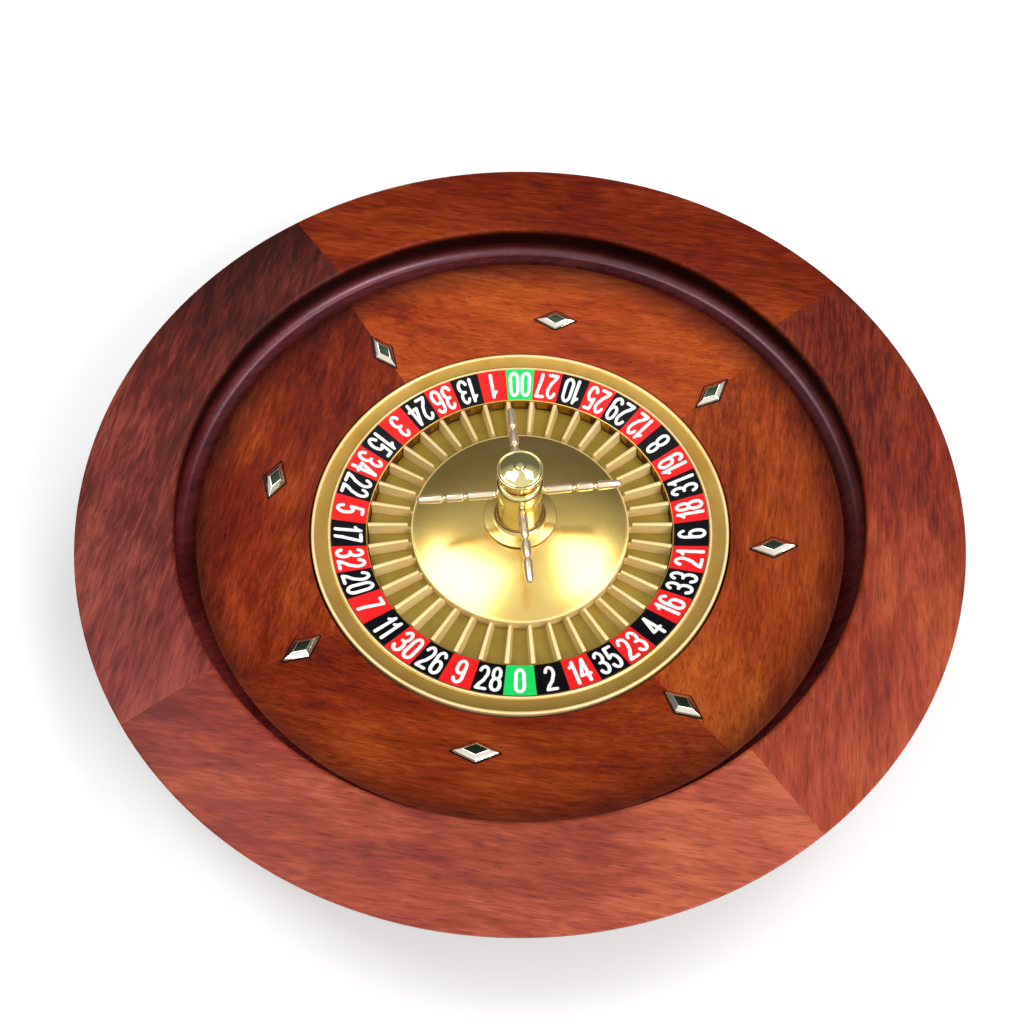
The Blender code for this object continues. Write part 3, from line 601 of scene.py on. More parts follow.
def cone_wood(side):
    """A cone board, darkened towards the ball track by painted shade."""
    grain, shift = BOARDS[side]
    # The cone boards take 0.4 of that painted shade along the grain
    made = wood(f"cone_wood_{side}", grain, CONE_TONES[side], shift + 1.3, 0.4 * SHADE_LEAN[side], sheen=CONE_SHEEN)
    wide, share = TRACK_EDGE_SHADE[side]
    shaded(made, made.radius(), TRACK_FOOT_RADIUS * MM, (TRACK_FOOT_RADIUS - wide) * MM, share)
    return made.material


def track_wood():
    """The ball track: dark brown wood, glossy in a band just above its foot.

    Painted shade blackens it under the lip and darkens its foot where it meets the cone.
    Towards the front its gloss is turned down, which takes the lamps' sheen off: painted shade.
    """
    tones = [(0.1, (48, 10, 8)), (0.5, (82, 24, 20)), (0.9, (108, 38, 32))]
    made = wood("track_wood", 30.0, tones, 2.0, gloss=0.34, tint=(1.0, 0.62, 0.78))
    height = made.part("Z", made.place())
    cove = (TRACK_FOOT_HEIGHT + TRACK_FOOT_RISE) * MM
    # Painted shade: black under the lip and in the upper cove
    shaded(made, height, cove + 9.5 * MM, cove + 2.0 * MM, 0.12)
    # Painted shade darkening the foot where it meets the cone
    shaded(made, height, cove - 1.4 * MM, cove + 0.4 * MM, 0.4)
    rising = made.spread(height, cove - 0.9 * MM, cove + 0.4 * MM, 0.05, 1.0)
    falling = made.spread(height, cove + 1.6 * MM, cove + 7.5 * MM, 1.0, 0.2)
    # Painted shade: the gloss falls towards the front of the wheel, which takes the lamps' sheen off there
    behind = made.spread(made.part("Y", made.place()), -40.0 * MM, 80.0 * MM, 0.1, 1.0)
    made.set(Specular_IOR_Level=made.math("MULTIPLY", made.math("MULTIPLY", rising, falling), behind))
    return made.material


def make_finishes():
    """Every finish by its name."""
    walls = [(0.1, (62, 20, 12)), (0.5, (100, 36, 22)), (0.9, (134, 58, 34))]
    boards = [(0.1, (34, 22, 16)), (0.5, (56, 38, 28)), (0.9, (78, 56, 42))]
    plates = [(0.1, (60, 38, 22)), (0.5, (92, 60, 36)), (0.9, (120, 84, 52))]
    made = {
        "track_wood": track_wood(),
        "wall_wood": wood("wall_wood", 0.0, walls, 4.0).material,
        "base_wood": wood("base_wood", 15.0, boards, 6.0, gloss=0.62, sheen=0.2).material,
        "rotor_wood": wood("rotor_wood", 40.0, plates, 7.0, gloss=0.5).material,
        "satin_brass": gold("satin_brass", (216, 173, 92), (200, 155, 70), 0.28, 1800.0, 0.02),
        "pocket_brass": gold("pocket_brass", (152, 128, 36), (130, 106, 24), 0.48, 900.0, metal=0.3),
        # A paler copy of the brass for fret crests and rolled edges: painted highlight
        "edge_highlight_brass": gold("edge_highlight_brass", (246, 222, 166), (236, 204, 136), 0.34, 1500.0, metal=0.35),
        # The arms: a paler, partly matt copy of the turret brass, a painted highlight that makes them look lit
        "arm_highlight_brass": gold(
            "arm_highlight_brass", (252, 238, 204), (244, 224, 180), 0.12, 3000.0, 0.03, 0.001, metal=0.86
        ),
        "polished_brass": gold(
            "polished_brass", (228, 192, 84), (218, 176, 62), 0.22, 2400.0, 0.015, 0.002, lacquer=1.0, haze=0.8
        ),
        "turret_brass": gold(
            "turret_brass", (238, 224, 140), (230, 210, 112), 0.07, 3000.0, 0.02, 0.0006, lacquer=1.0
        ),
        "deflector_metal": gold("deflector_metal", (250, 244, 232), (238, 228, 208), 0.1, 2000.0, 0.04, 0.001),
        # Dark green on the deflectors' flat crowns: a painted dark reflection
        "deflector_crown": gold("deflector_crown", (70, 84, 66), (44, 58, 42), 0.3, 2000.0, 0.05, 0.002),
        # A dark rim round the foot of each deflector
        "deflector_dark_rim": enamel("deflector_dark_rim", (18, 12, 10), 0.6),
        "steel": steel(),
        "rubber": rubber(),
        "red": enamel("red_enamel", (236, 34, 34)),
        "black": enamel("black_enamel", (8, 9, 16)),
        "green": enamel("green_enamel", (32, 214, 100)),
        "white": enamel("white_enamel", (252, 252, 252), 0.4),
    }
    for side in BOARDS:
        made[f"rim_{side}"] = rim_wood(side)
        made[f"cone_{side}"] = cone_wood(side)
    return made


# ---- the bowl


def build_rim(finishes):
    profile = [
        (RIM_INNER_RADIUS, RIM_TOP, 2.6),
        (RIM_RADIUS, RIM_TOP, 1.0),
        (RIM_RADIUS, RIM_TOP - RIM_EDGE, 1.6),
        (RIM_RADIUS - 7.0, RIM_TOP - 10.5, 7.0),
        (RIM_RADIUS - 14.0, RIM_UNDERSIDE, 0.8),
        (RIM_LEDGE_RADIUS, RIM_UNDERSIDE, 0.3),
        (RIM_LEDGE_RADIUS, RIM_TOP - RIM_LIP, 0.3),
        (RIM_INNER_RADIUS, RIM_TOP - RIM_LIP, 2.8),
    ]
    inset = math.degrees(GLUE_LINE / 2 / RIM_INNER_RADIUS)
    for side, start in SIDES.items():
        mesh = lathe(f"rim_board_{side}", profile, WIDE_SIDES, start + inset, SEGMENT_ANGLE - 2 * inset)
        piece(mesh.name, mesh, [finishes[f"rim_{side}"]], "bowl", "rim_wood", f"rim_segment_{side}")


def build_track(finishes):
    """The ball track: a nearly flat foot, a tight cove and an upright back under the lip."""
    back = RIM_LEDGE_RADIUS - 8.0
    cove = (back - TRACK_COVE, TRACK_FOOT_HEIGHT + TRACK_FOOT_RISE)
    ledge = RIM_TOP - RIM_LIP - 0.1
    foot = TRACK_FOOT_RADIUS + TRACK_FOOT_SETBACK
    profile = [
        (RIM_LEDGE_RADIUS - 0.2, ledge),
        (back - 0.4, ledge, 0.4),
        (back, ledge - 6.0, 2.0),
        *reversed(arc(cove, (back, cove[1] + TRACK_COVE + 0.8), TRACK_COVE_BULGE, 16)),
        (foot, TRACK_FOOT_HEIGHT + 0.1, 0.4),
        (foot, TRACK_FOOT_HEIGHT - 6.6),
        (RIM_LEDGE_RADIUS - 0.2, TRACK_FOOT_HEIGHT + 6.0),
    ]
    nodes = [f"ball_track_segment_{side}" for side in SIDES]
    piece("ball_track", lathe("ball_track", profile), [finishes["track_wood"]], "bowl", "track_wood", *nodes)


def build_cone(finishes):
    inner = CONE_INNER_RADIUS - 0.8
    brow = TRACK_FOOT_RADIUS - 0.5
    outer = TRACK_FOOT_RADIUS + TRACK_FOOT_SETBACK - 0.05
    profile = [
        (inner, cone_height(inner), 0.6),
        (inner, cone_height(inner) - CONE_THICKNESS, 0.5),
        (brow, cone_height(brow) - CONE_THICKNESS),
        (outer, cone_height(brow) - CONE_THICKNESS),
        (outer, TRACK_FOOT_HEIGHT + 0.1, 0.2),
        (brow, cone_height(brow), 1.0),
    ]
    inset = math.degrees(GLUE_LINE / 2 / CONE_INNER_RADIUS)
    for side, start in SIDES.items():
        mesh = lathe(f"cone_board_{side}", profile, WIDE_SIDES, start + inset, SEGMENT_ANGLE - 2 * inset)
        piece(mesh.name, mesh, [finishes[f"cone_{side}"]], "bowl", "cone_wood", f"cone_segment_{side}")


def deflector_frame(angle, askew):
    """A deflector's place on the cone: X up the slope, Z out of the wood."""
    rise = TRACK_FOOT_HEIGHT - CONE_INNER_HEIGHT
    slope = math.atan2(rise, TRACK_FOOT_RADIUS - CONE_INNER_RADIUS)
    on_cone = Vector((DEFLECTOR_CIRCLE, 0.0, cone_height(DEFLECTOR_CIRCLE))) * MM
    return (
        Matrix.Rotation(math.radians(angle), 4, "Z")
        @ Matrix.Translation(on_cone)
        @ Matrix.Rotation(-slope, 4, "Y")
        @ Matrix.Rotation(math.radians(askew), 4, "Z")
    )


def deflector_mesh():
    """A lozenge: bevelled sides, eased edges, a flat crown with a painted dark reflection, on a dark rim."""
    bm = bmesh.new()
    layers = [
        (DEFLECTOR_LIFT, DEFLECTOR_DARK_RIM_SHARE),
        (DEFLECTOR_LIFT + DEFLECTOR_DARK_RIM, DEFLECTOR_DARK_RIM_SHARE),
        (DEFLECTOR_LIFT + DEFLECTOR_DARK_RIM, 1.0),
        (DEFLECTOR_LIFT + DEFLECTOR_SKIRT, 1.0),
        (DEFLECTOR_HEIGHT, DEFLECTOR_CROWN_SHARE),
    ]
    rings = []
    for height, share in layers:
        length, width = DEFLECTOR_LENGTH / 2 * share, DEFLECTOR_WIDTH / 2 * share
        corners = [(length, 0.0), (0.0, width), (-length, 0.0), (0.0, -width)]
        rings.append([bm.verts.new(Vector((x, y, height)) * MM) for x, y in corners])
    for ring, above in zip(rings, rings[1:]):
        bridge(bm, ring, above)
    bm.faces.new(list(reversed(rings[0])))
    # The flat crown takes the dark green finish: a painted dark reflection
    bm.faces.new(rings[-1]).material_index = 1
    bmesh.ops.bevel(
        bm,
        geom=bm.edges[:],
        offset=DEFLECTOR_EASE * MM,
        offset_type="OFFSET",
        segments=3,
        profile=0.5,
        affect="EDGES",
    )
    for face in bm.faces:
        # The lowest layer is the dark rim round the foot
        if face.calc_center_median().z < (DEFLECTOR_LIFT + DEFLECTOR_DARK_RIM + 0.05) * MM:
            face.material_index = 2
    return finished(bm, "deflector_lozenge", 40.0)


def build_deflectors(finishes):
    mesh = deflector_mesh()
    for number, (angle, along, askew) in enumerate(DEFLECTORS, 1):
        matrix = deflector_frame(angle, askew + (90.0 if along else 0.0))
        metal = [finishes[f"deflector_{part}"] for part in ("metal", "crown", "dark_rim")]
        name = f"deflector_{number}"
        piece(f"lozenge_{number}", mesh, metal, "bowl", "deflector_metal", name, matrix=matrix)


def build_wall(finishes):
    """The turned outer wall, with a bead under the rim and a step above the base."""
    upper, foot = RIM_UNDERSIDE - 0.1, BASE_TOP + 0.1
    under_bead = (RIM_RADIUS - 18.2, upper - 4.6)
    wall = [
        (WALL_FOOT_RADIUS - 12.0, foot),
        (WALL_FOOT_RADIUS, foot, 0.8),
        (WALL_FOOT_RADIUS + 1.2, foot + 2.6, 0.5),
        *arc((WALL_FOOT_RADIUS + 2.2, foot + 3.0), under_bead, 8.0, 24)[1:],
        (RIM_RADIUS - 15.0, upper - 4.2, 1.4),
        (RIM_RADIUS - 14.8, upper, 1.6),
        (WALL_TOP_INNER_RADIUS, upper),
        *arc((WALL_FOOT_RADIUS - 12.0, foot), (WALL_TOP_INNER_RADIUS, upper), 6.0, 16)[-2:0:-1],
    ]
    piece("outer_wall", lathe("outer_wall", wall), [finishes["wall_wood"]], "bowl", "wall_wood", "bowl_wall")


def bars(name, radius, length, places):
    """Round bars, each along Z about the middle that its matrix gives, as one mesh to cut holes with."""
    bm = bmesh.new()
    for place in places:
        sizes = {"radius1": radius * MM, "radius2": radius * MM, "depth": length * MM}
        bmesh.ops.create_cone(bm, cap_ends=True, segments=BAR_SIDES, matrix=place, **sizes)
    return finished(bm, name)


def combine(obj, other, operation):
    """Adds an exact Boolean step with another object."""
    step = obj.modifiers.new(operation.title(), "BOOLEAN")
    step.operation = operation
    step.solver = "EXACT"
    step.object = other


def cut(obj, tool_mesh):
    """Cuts a mesh out of an object and leaves nothing else behind."""
    tool = placed(tool_mesh.name, tool_mesh)
    combine(obj, tool, "DIFFERENCE")
    apply_modifiers(obj)
    bpy.data.objects.remove(tool, do_unlink=True)


def spots_on_circle(radius, count, first, height):
    """Matrices that move to evenly spaced places on a circle at a height."""
    angles = [math.radians(first + 360.0 * k / count) for k in range(count)]
    places = [Vector((radius * math.cos(a), radius * math.sin(a), height)) for a in angles]
    return [Matrix.Translation(place * MM) for place in places]


def build_base(finishes):
    """The base board with its screw holes, and the four rubber feet."""
    edge = [(BASE_RADIUS, BASE_BOTTOM, 2.4), (BASE_RADIUS, BASE_TOP, 0.6)]
    board = [(0.0, BASE_BOTTOM), *edge, (0.0, BASE_TOP)]
    mesh = lathe("base_disc", board)
    base = piece("base_disc", mesh, [finishes["base_wood"]], "bowl", "base_wood", "base_board")
    middle = (BASE_BOTTOM + BASE_TOP) / 2
    feet = spots_on_circle(FOOT_CIRCLE, 4, 45.0, middle)
    holes = spots_on_circle(SPINDLE_SCREW_CIRCLE, 3, 90.0, middle) + feet
    cut(base, bars("screw_holes", SCREW_HOLE_RADIUS, BASE_TOP - BASE_BOTTOM + 2.0, holes))
    for face in base.data.polygons:
        face.use_smooth = abs(face.normal.z) < 0.999
    pad = [
        (FOOT_RECESS_RADIUS, 0.0, 0.5),
        (FOOT_RADIUS - 1.4, 0.0, 1.2),
        (FOOT_RADIUS, 2.0, 0.8),
        (FOOT_RADIUS - 0.6, BASE_BOTTOM - 0.05, 0.3),
        (SCREW_HOLE_RADIUS, BASE_BOTTOM - 0.05),
        (SCREW_HOLE_RADIUS, FOOT_RECESS_DEPTH),
        (FOOT_RECESS_RADIUS, FOOT_RECESS_DEPTH, 0.2),
    ]
    mesh = lathe("rubber_foot", pad, NARROW_SIDES)
    foot = [finishes["rubber"]]
    for number, at in enumerate(spots_on_circle(FOOT_CIRCLE, 4, 45.0, 0.0), 1):
        piece(f"rubber_foot_{number}", mesh, foot, "bowl", "rubber", f"foot_{number}", matrix=at)


# ---- the rotor


def build_flange(finishes):
    """The flange: its face falls a little towards the numbers, between two rolled edges."""
    low = bottom("flange_ring")
    high = top("flange_ring") + 0.5
    inner = FLANGE_INNER_RADIUS
    profile = [
        (inner, high - 2.8),
        (FLANGE_RADIUS - 2.2, high - 2.8),
        (FLANGE_RADIUS - 2.2, low),
        (FLANGE_RADIUS, low, 0.4),
        (FLANGE_RADIUS, high - 0.5, 0.6),
        (FLANGE_RADIUS - 0.5, high, 0.6),
        (FLANGE_RADIUS - 1.5, high, 0.5),
        (FLANGE_RADIUS - 2.1, high - 0.6, 0.3),
        (inner + 2.0, high - 0.6 - FLANGE_FALL, 0.3),
        (inner + 1.3, high + 0.15 - FLANGE_FALL, 0.4),
        (inner + 0.4, high + 0.1 - FLANGE_FALL, 0.4),
        (inner, high - 0.9 - FLANGE_FALL, 0.2),
    ]
    mesh = lathe("flange", profile)
    # The rolled edges take the paler brass, a painted highlight
    for face in mesh.polygons:
        radius = face.center.xy.length / MM
        face.material_index = 1 if radius > FLANGE_RADIUS - 2.0 or radius < inner + 1.8 else 0
    metal = [finishes["satin_brass"], finishes["edge_highlight_brass"]]
    piece("flange", mesh, metal, "rotor", "satin_brass", "flange_ring")


def field_colour(number):
    if number in GREENS:
        return "green"
    return "red" if number in REDS else "black"


def build_band(finishes):
    """The number ring: a thin brass cone with one enamelled field for each pocket."""
    order = ["satin_brass", "red", "black", "green"]
    radii = [BAND_INNER_RADIUS, BAND_INNER_RADIUS + BAND_MARGIN, BAND_OUTER_RADIUS - 0.05, BAND_OUTER_RADIUS]
    section = [(r, band_height(r)) for r in radii]
    skirt = BAND_INNER_RADIUS + BAND_SKIRT
    section += [(r, band_height(r) - BAND_THICKNESS) for r in (BAND_OUTER_RADIUS, skirt)]
    section += [(r, POCKET_FLOOR + 0.2) for r in (skirt, BAND_INNER_RADIUS)]
    bm = bmesh.new()
    rings = []
    for k in range(len(NUMBERS) * BAND_STEPS_PER_FIELD):
        angle = math.radians(FIRST_POCKET - PITCH / 2 + k * PITCH / BAND_STEPS_PER_FIELD)
        rings.append(section_ring(bm, section, angle))
    for k, ring in enumerate(rings):
        following = rings[(k + 1) % len(rings)]
        # The numbers run clockwise from above, and the rings anticlockwise.
        number = NUMBERS[-(k // BAND_STEPS_PER_FIELD) % len(NUMBERS)]
        field = bridge(bm, ring, following)[1]
        field.material_index = order.index(field_colour(number))
    mesh = finished(bm, "number_ring")
    piece("number_ring", mesh, [finishes[k] for k in order], "rotor", "number_enamel", "number_band")


def bend(x, y, wide, tall, start, end, steps=14):
    """Points on an ellipse about (x, y), from one angle to another in degrees."""
    angles = [math.radians(start + (end - start) * k / steps) for k in range(steps + 1)]
    return [(x + wide * math.cos(a), y + tall * math.sin(a)) for a in angles]


def loop(y, wide, tall, straight):
    """A closed upright oval about (0, y) with straight sides."""
    upper = bend(0, y + straight, wide, tall - straight, 0, 180)
    return upper + bend(0, y - straight, wide, tall - straight, 180, 360)


def six():
    return [
        (True, loop(-0.42, 1.0, 0.58, 0.12)),
        (False, [(-1.0, -0.4), (-1.0, 0.45)] + bend(0, 0.5, 1.0, 0.5, 176, 22)),
    ]


def turned(strokes):
    return [(closed, [(-x, -y) for x, y in points]) for closed, points in strokes]


# The pen strokes of each digit, as (closed or not, points), in a box from -1 to 1 both ways
DIGITS = {
    "0": [(True, loop(0, 1.0, 1.0, 0.5))],
    "1": [(False, [(0.9, 1.0), (0.9, -1.0)]), (False, [(0.8, 0.95), (0.3, 0.72), (-0.9, 0.56)])],
    "2": [
        (False, bend(0, 0.5, 1.0, 0.5, 168, -28) + [(0.3, -0.25), (-0.6, -0.66), (-1.0, -1.0)]),
        (False, [(-1.0, -1.0), (1.0, -1.0)]),
    ],
    "3": [
        (False, bend(0, 0.52, 0.92, 0.48, 160, -90) + [(-0.3, 0.04)]),
        (False, [(-0.3, 0.04)] + bend(0, -0.48, 1.0, 0.52, 90, -160)),
    ],
    "4": [
        (False, [(0.4, 1.0), (-1.1, -0.42)]),
        (False, [(-1.1, -0.42), (1.15, -0.42)]),
        (False, [(0.5, 1.0), (0.5, -1.0)]),
    ],
    "5": [
        (False, [(-0.72, 1.0), (0.9, 1.0)]),
        (False, [(-0.72, 1.0), (-0.9, 0.05)]),
        (False, [(-0.9, 0.05)] + bend(0, -0.38, 1.0, 0.62, 128, -158)),
    ],
    "6": six(),
    "7": [
        (False, [(-1.0, 1.0), (1.0, 1.0)]),
        (False, [(1.0, 1.0), (0.3, 0.1), (-0.15, -0.5), (-0.3, -1.0)]),
    ],
    "8": [(True, loop(0.51, 0.9, 0.49, 0.08)), (True, loop(-0.47, 1.0, 0.53, 0.08))],
    "9": turned(six()),
}


def pen_outline(points, closed):
    """The two edges of a pen stroke along its points, and its round ends."""
    spots = [Vector(point) for point in points]
    if closed and (spots[0] - spots[-1]).length < 1e-6:
        spots.pop()
    spots = [p for k, p in enumerate(spots) if k == 0 or (p - spots[k - 1]).length > 1e-6]
    count = len(spots)
    left, right = [], []
    for k, spot in enumerate(spots):
        before = spots[k - 1] if closed or k else spot
        after = spots[(k + 1) % count] if closed or k < count - 1 else spot
        way = (after - before).normalized()
        side = Vector((-way.y, way.x)) * PEN / 2
        left.append(spot + side)
        right.append(spot - side)
    if closed:
        return left, right
    caps = []
    for spot, edge in ((spots[-1], left[-1]), (spots[0], right[0])):
        turns = [Matrix.Rotation(-math.pi * k / CAP_STEPS, 2) for k in range(1, CAP_STEPS)]
        caps.append([spot + turn @ (edge - spot) for turn in turns])
    return left + caps[0] + list(reversed(right)) + caps[1], None


def stroke_mesh(points, closed, width):
    """One pen stroke as a flat closed solid, between heights -1 and 1."""
    half_wide, half_tall = (width - PEN) / 2, (1.0 - PEN) / 2
    outer, inner = pen_outline([(x * half_wide, y * half_tall) for x, y in points], closed)
    bm = bmesh.new()
    edges = [edge for edge in (outer, inner) if edge]
    loops = [[[bm.verts.new((p.x, p.y, z)) for p in edge] for z in (-1.0, 1.0)] for edge in edges]
    for low, high in loops:
        bridge(bm, low, high)
    for level in (0, 1):
        if inner is None:
            bm.faces.new(loops[0][level])
        else:
            bridge(bm, loops[0][level], loops[1][level])
    return finished(bm, "stroke")


def joined(objects):
    """The union of overlapping solids, as one mesh. The objects are used up."""
    first, *others = objects
    for other in others:
        combine(first, other, "UNION")
    apply_modifiers(first)
    mesh = first.data
    for obj in objects:
        bpy.data.objects.remove(obj, do_unlink=True)
    return mesh


def digit_mesh(digit, width):
    return joined([placed("stroke", stroke_mesh(points, closed, width)) for closed, points in DIGITS[digit]])


def build_numerals(finishes):
    """The white numerals, bent onto the number ring with their tops towards the middle."""
    widths = {digit: ONE_WIDTH if digit == "1" else DIGIT_WIDTH for digit in DIGITS}
    shapes = {digit: digit_mesh(digit, widths[digit]) for digit in DIGITS}
    middle = (BAND_INNER_RADIUS + BAND_OUTER_RADIUS) / 2 + NUMERAL_OUTWARD
    bm = bmesh.new()
    for k, number in enumerate(NUMBERS):
        centre = math.radians(FIRST_POCKET - k * PITCH)
        left = -(sum(widths[digit] for digit in number) + DIGIT_GAP * (len(number) - 1)) / 2
        for digit in number:
            mesh = shapes[digit].copy()
            for vert in mesh.vertices:
                radius = middle - vert.co.y * NUMERAL_HEIGHT
                angle = centre + (vert.co.x + left + widths[digit] / 2) * NUMERAL_HEIGHT / middle
                height = band_height(radius) + (NUMERAL_RELIEF if vert.co.z > 0 else -NUMERAL_RELIEF)
                vert.co = Vector((radius * math.cos(angle), radius * math.sin(angle), height)) * MM
            left += widths[digit] + DIGIT_GAP
            bm.from_mesh(mesh)
            bpy.data.meshes.remove(mesh)
    mesh = finished(bm, "numerals")
    piece("numerals", mesh, [finishes["white"]], "rotor", "number_enamel")


def build_pockets(finishes):
    """The pocket ring: flat floors between frets with sloping sides and rounded crests."""
    middle = math.radians(FRET_ANGLE) * (POCKET_INNER_RADIUS + POCKET_OUTER_RADIUS) / 2
    shoulder = middle * (1 - FRET_CREST_SHARE) / 2
    fret = rounded(
        [
            (-1.2, POCKET_FLOOR),
            (0.0, POCKET_FLOOR, 0.5),
            (shoulder, FRET_TOP, 0.45),
            (middle - shoulder, FRET_TOP, 0.45),
            (middle, POCKET_FLOOR, 0.5),
            (middle + 1.2, POCKET_FLOOR),
        ],
        closed=False,
    )
    bm = bmesh.new()
    rings = []
    first = FIRST_POCKET + PITCH / 2 - FRET_ANGLE / 2
    for k in range(len(NUMBERS)):
        for across, height in fret:
            angle = math.radians(first + k * PITCH + across / middle * FRET_ANGLE)
            step = POCKET_FLOOR + FRET_END_SHARE * (height - POCKET_FLOOR)
            section = [
                (POCKET_INNER_RADIUS, POCKET_BOTTOM),
                (POCKET_OUTER_RADIUS, POCKET_BOTTOM),
                (POCKET_OUTER_RADIUS, height),
                (POCKET_INNER_RADIUS + FRET_END_LENGTH + 0.5, height),
                (POCKET_INNER_RADIUS + FRET_END_LENGTH, step),
                (POCKET_INNER_RADIUS, step),
            ]
            rings.append(section_ring(bm, section, angle))
    # Raised fret faces take the paler brass, a painted highlight
    for ring, following in zip(rings, rings[1:] + rings[:1]):
        raised = max(ring[2].co.z, following[2].co.z) > (POCKET_FLOOR + 0.3) * MM
        for face in bridge(bm, ring, following)[2:5]:
            face.material_index = int(raised)
    mesh = finished(bm, "pockets")
    metal = [finishes["pocket_brass"], finishes["edge_highlight_brass"]]
    piece("pockets", mesh, metal, "rotor", "satin_brass", "pocket_ring")


def build_dome(finishes):
    run = DOME_EDGE_RADIUS - DOME_HOLE_RADIUS
    radii = [DOME_EDGE_RADIUS - k * run / DOME_STEPS for k in range(DOME_STEPS + 1)]
    over = [(r, dome_height(r)) for r in radii]
    under = [(r, dome_height(r) - DOME_THICKNESS) for r in (DOME_HOLE_RADIUS, 21.0, 42.0, DOME_EDGE_RADIUS)]
    profile = [
        (63.2, 40.0),
        (63.2, POCKET_BOTTOM),
        (DOME_RADIUS, POCKET_BOTTOM),
        (DOME_RADIUS, dome_height(65.0), 0.9),
        (64.6, dome_height(64.6), 0.5),
        *over,
        *under,
    ]
    mesh = lathe("centre_dome", profile)
    # The dome's rounded rim takes the paler brass, a painted highlight
    for face in mesh.polygons:
        face.material_index = 1 if face.center.xy.length > (DOME_RADIUS - 0.9) * MM else 0
    metal = [finishes["polished_brass"], finishes["edge_highlight_brass"]]
    piece("centre_dome", mesh, metal, "rotor", "polished_brass", "dome")


# ---- the turret


def build_column(finishes):
    base = TURRET_BASE_BOTTOM
    waist = COLUMN_RADIUS - 0.5
    profile = [
        (COLUMN_BORE_RADIUS, base),
        (TURRET_BASE_RADIUS, base, 0.3),
        (TURRET_BASE_RADIUS, base + 0.9, 0.5),
        (waist + 2.2, base + 1.7, 1.2),
        (waist, base + 4.2, 1.6),
        (waist, ARM_HEIGHT - 3.6, 2.0),
        (COLUMN_RADIUS + 0.3, ARM_HEIGHT + 5.0, 3.0),
        (COLUMN_RADIUS + 0.2, COLUMN_TOP - 1.8, 1.2),
        (11.9, COLUMN_TOP, 0.8),
        (4.0, COLUMN_TOP),
        (4.0, COLUMN_TOP - 7.0),
        (COLUMN_BORE_RADIUS, COLUMN_TOP - 8.0),
    ]
    mesh = lathe("column", profile, NARROW_SIDES)
    for face in mesh.polygons:
        face.material_index = 1 if face.center.xy.length > (waist + 1.2) * MM else 0
    metal = [finishes["turret_brass"], finishes["polished_brass"]]
    column = piece("column", mesh, metal, "rotor", "polished_brass", "turret_column")
    middle = Matrix.Translation((0.0, 0.0, ARM_HOLE_MIDDLE * MM))
    places = [arm @ middle for arm in arm_frames()]
    cut(column, bars("arm_holes", ARM_HOLE_RADIUS, ARM_HOLE_LENGTH, places))
    column.data.set_sharp_from_angle(angle=math.radians(SMOOTH_UP_TO))


def arm_frames():
    """The arms' places: Z along each arm, from the turret's axis."""
    at_height = Matrix.Translation((0.0, 0.0, ARM_HEIGHT * MM))
    outwards = Matrix.Rotation(math.pi / 2, 4, "Y")
    turns = [Matrix.Rotation(math.radians(ARM_TURN + 90.0 * k), 4, "Z") for k in range(4)]
    return [at_height @ turn @ outwards for turn in turns]


def build_arms(finishes):
    """Four slender beaded arms, each with its stud in the column."""
    arm = [
        (0.0, ARM_STUD_START),
        (ARM_STUD_RADIUS, ARM_STUD_START, 0.2),
        (ARM_STUD_RADIUS, COLUMN_RADIUS + 0.3),
        (2.3, COLUMN_RADIUS + 0.3, 0.3),
        (2.85, 16.0, 1.2),
        (2.75, 24.0, 3.0),
        (2.6, 29.9, 0.7),
        (1.5, 30.9, 0.5),
        (1.5, 32.3, 0.5),
        (2.7, 33.3, 0.7),
        (2.75, 38.0, 2.0),
        (2.5, 42.4, 0.7),
        (1.5, 43.4, 0.4),
        (1.5, 44.7, 0.4),
        (2.8, 45.7, 0.8),
        (2.7, 50.0, 2.0),
        (2.25, 58.2, 1.6),
        (1.2, ARM_TIP_RADIUS - 0.1, 0.5),
        (0.0, ARM_TIP_RADIUS),
    ]
    mesh = lathe("arm", arm, ARM_SIDES)
    # The arms' paler brass is a painted highlight
    metal = [finishes["arm_highlight_brass"]]
    for number, matrix in enumerate(arm_frames(), 1):
        name = f"turret_arm_{number}"
        piece(f"arm_{number}", mesh, metal, "rotor", "polished_brass", name, matrix=matrix)


def build_knob(finishes):
    neck = COLUMN_TOP + 0.1
    radii = (11.6, 10.6, 9.4, 8.0, 6.4, 4.8, 3.4)
    crown = [(r, KNOB_CROWN_EDGE + KNOB_CROWN_RISE * (1.0 - (r / KNOB_CROWN_RADIUS) ** 2)) for r in radii]
    knob = [
        (0.0, neck - 6.6),
        (3.6, neck - 6.6, 0.3),
        (3.6, neck),
        (11.2, neck, 0.3),
        (10.3, 93.0, 1.2),
        (10.3, 97.6, 1.6),
        (13.0, 99.6, 0.9),
        (13.6, 100.6, 0.6),
        (13.6, 101.8, 0.6),
        (13.0, 102.5, 0.5),
        (12.2, 102.4, 0.4),
        (11.9, 101.9, 0.2),
        *crown,
        (2.8, 104.8, 0.3),
        (2.9, 105.6, 0.5),
        (2.2, KNOB_TOP - 0.1, 0.6),
        (0.0, KNOB_TOP),
    ]
    mesh = lathe("knob", knob, NARROW_SIDES)
    piece("knob", mesh, [finishes["turret_brass"]], "rotor", "polished_brass", "turret_knob")


# ---- inner parts and the stage


def dress_inner_parts(finishes):
    """The working parts inside keep their CAD solids and get their real finishes."""
    looks = {"rotor_plate": "rotor_wood", "rotor_well_ring": "pocket_brass", "rotor_hub": "satin_brass"}
    for name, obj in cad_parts.items():
        if obj.hide_render:
            continue
        finish = finishes[looks.get(name, "steel")]
        for holder in obj.material_slots:
            holder.material = finish


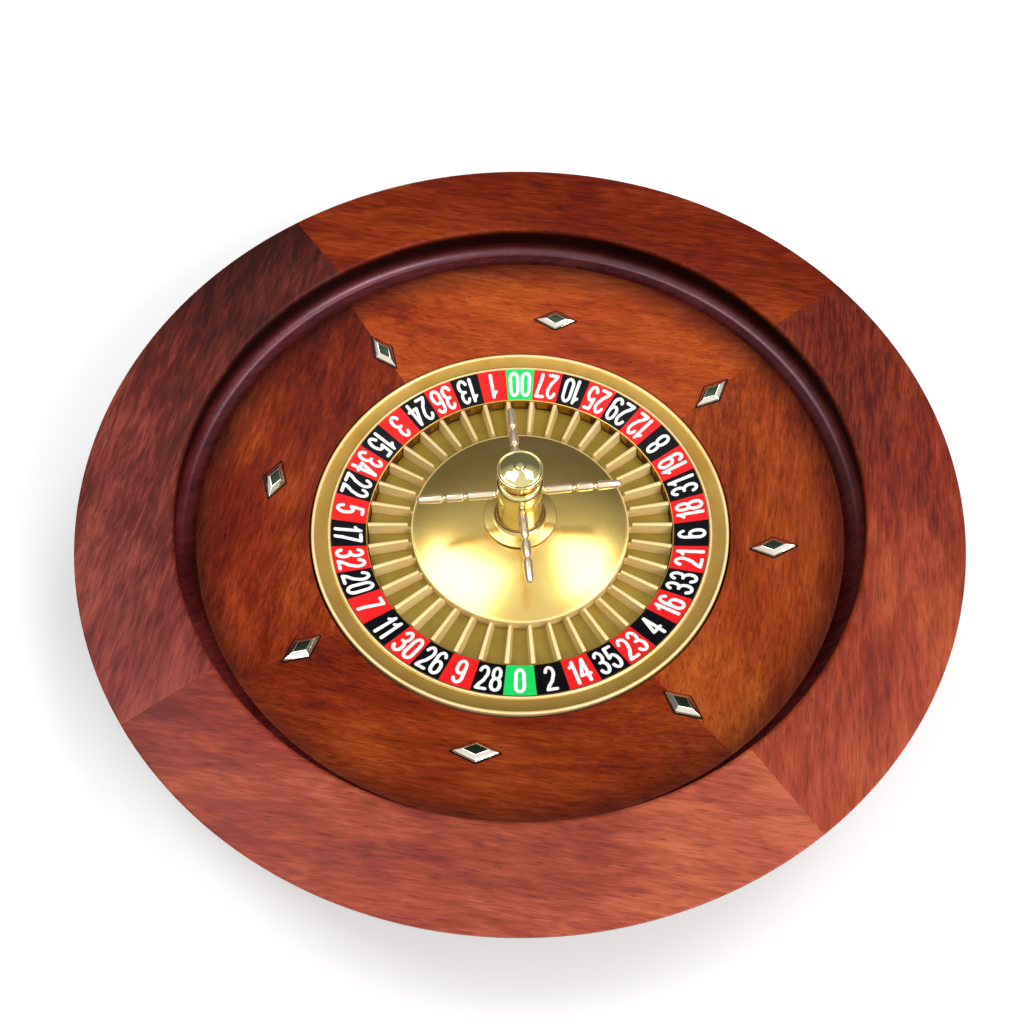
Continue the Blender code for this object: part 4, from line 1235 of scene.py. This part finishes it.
def build_stage():
    """A plain pale floor."""
    made = Finish("floor_paper", Roughness=0.9)
    tint = made.noise(made.place(), 3.0, 2.0)
    made.set(Base_Color=made.mix(tint, (0.94, 0.94, 0.94), (0.96, 0.96, 0.96)))
    bm = bmesh.new()
    bmesh.ops.create_grid(bm, x_segments=8, y_segments=8, size=6.0)
    floor = placed("floor", finished(bm, "floor"))
    floor.data.materials.append(made.material)


def area_light(name, place, aim, width, depth, radiance, turn=0.0):
    """A rectangular soft light turned about its own axis, its brightness given as radiance."""
    data = bpy.data.lights.new(name, "AREA")
    data.shape = "RECTANGLE"
    data.size = width
    data.size_y = depth
    data.energy = radiance * width * depth * math.pi
    obj = placed(name, data)
    obj.location = place
    facing = (Vector(aim) - Vector(place)).to_track_quat("-Z", "Y").to_matrix()
    obj.rotation_euler = (facing @ Matrix.Rotation(math.radians(turn), 3, "Z")).to_euler()


def build_lights():
    """Two softboxes overhead, left and right, and a key light in front on the right."""
    for name, across, along, width, depth, turn in SOFTBOXES:
        place = (across, along, SOFTBOX_HEIGHT)
        area_light(name, place, (across, along, 0.0), width, depth, SOFTBOX_RADIANCE, turn)
    area_light("key", KEY_PLACE, KEY_AIM, KEY_SIZE, KEY_SIZE, KEY_RADIANCE)


def build_world():
    """The studio's own soft light, bright in front and overhead and dim behind."""
    world = bpy.data.worlds.new("studio")
    bpy.context.scene.world = world
    world.use_nodes = True
    tree = world.node_tree
    way = tree.nodes.new("ShaderNodeTexCoord")
    facing = tree.nodes.new("ShaderNodeVectorMath")
    facing.operation = "DOT_PRODUCT"
    facing.inputs[1].default_value = STUDIO_BRIGHT_SIDE
    level = tree.nodes.new("ShaderNodeValToRGB")
    fill_ramp(level.color_ramp, [(position, (value, value, value)) for position, value in STUDIO_LEVELS])
    tree.links.new(way.outputs["Generated"], facing.inputs[0])
    tree.links.new(facing.outputs["Value"], level.inputs["Fac"])
    background = tree.nodes["Background"]
    tree.links.new(level.outputs["Color"], background.inputs["Color"])
    background.inputs["Strength"].default_value = STUDIO_STRENGTH


def build_camera():
    data = bpy.data.cameras.new("camera")
    data.lens = CAMERA_LENS
    data.sensor_width = CAMERA_SENSOR
    data.shift_x = CAMERA_SHIFT
    camera = placed("camera", data)
    camera.location = CAMERA_PLACE
    camera.rotation_euler = (math.radians(90.0 - CAMERA_DOWN), 0.0, 0.0)
    bpy.context.scene.camera = camera


def main():
    finishes = make_finishes()
    for build in (
        build_rim,
        build_track,
        build_cone,
        build_deflectors,
        build_wall,
        build_base,
        build_flange,
        build_band,
        build_numerals,
        build_pockets,
        build_dome,
        build_column,
        build_arms,
        build_knob,
        dress_inner_parts,
    ):
        build(finishes)
    build_stage()
    build_lights()
    build_world()
    build_camera()
    bpy.context.scene.view_settings.view_transform = "Standard"


main()
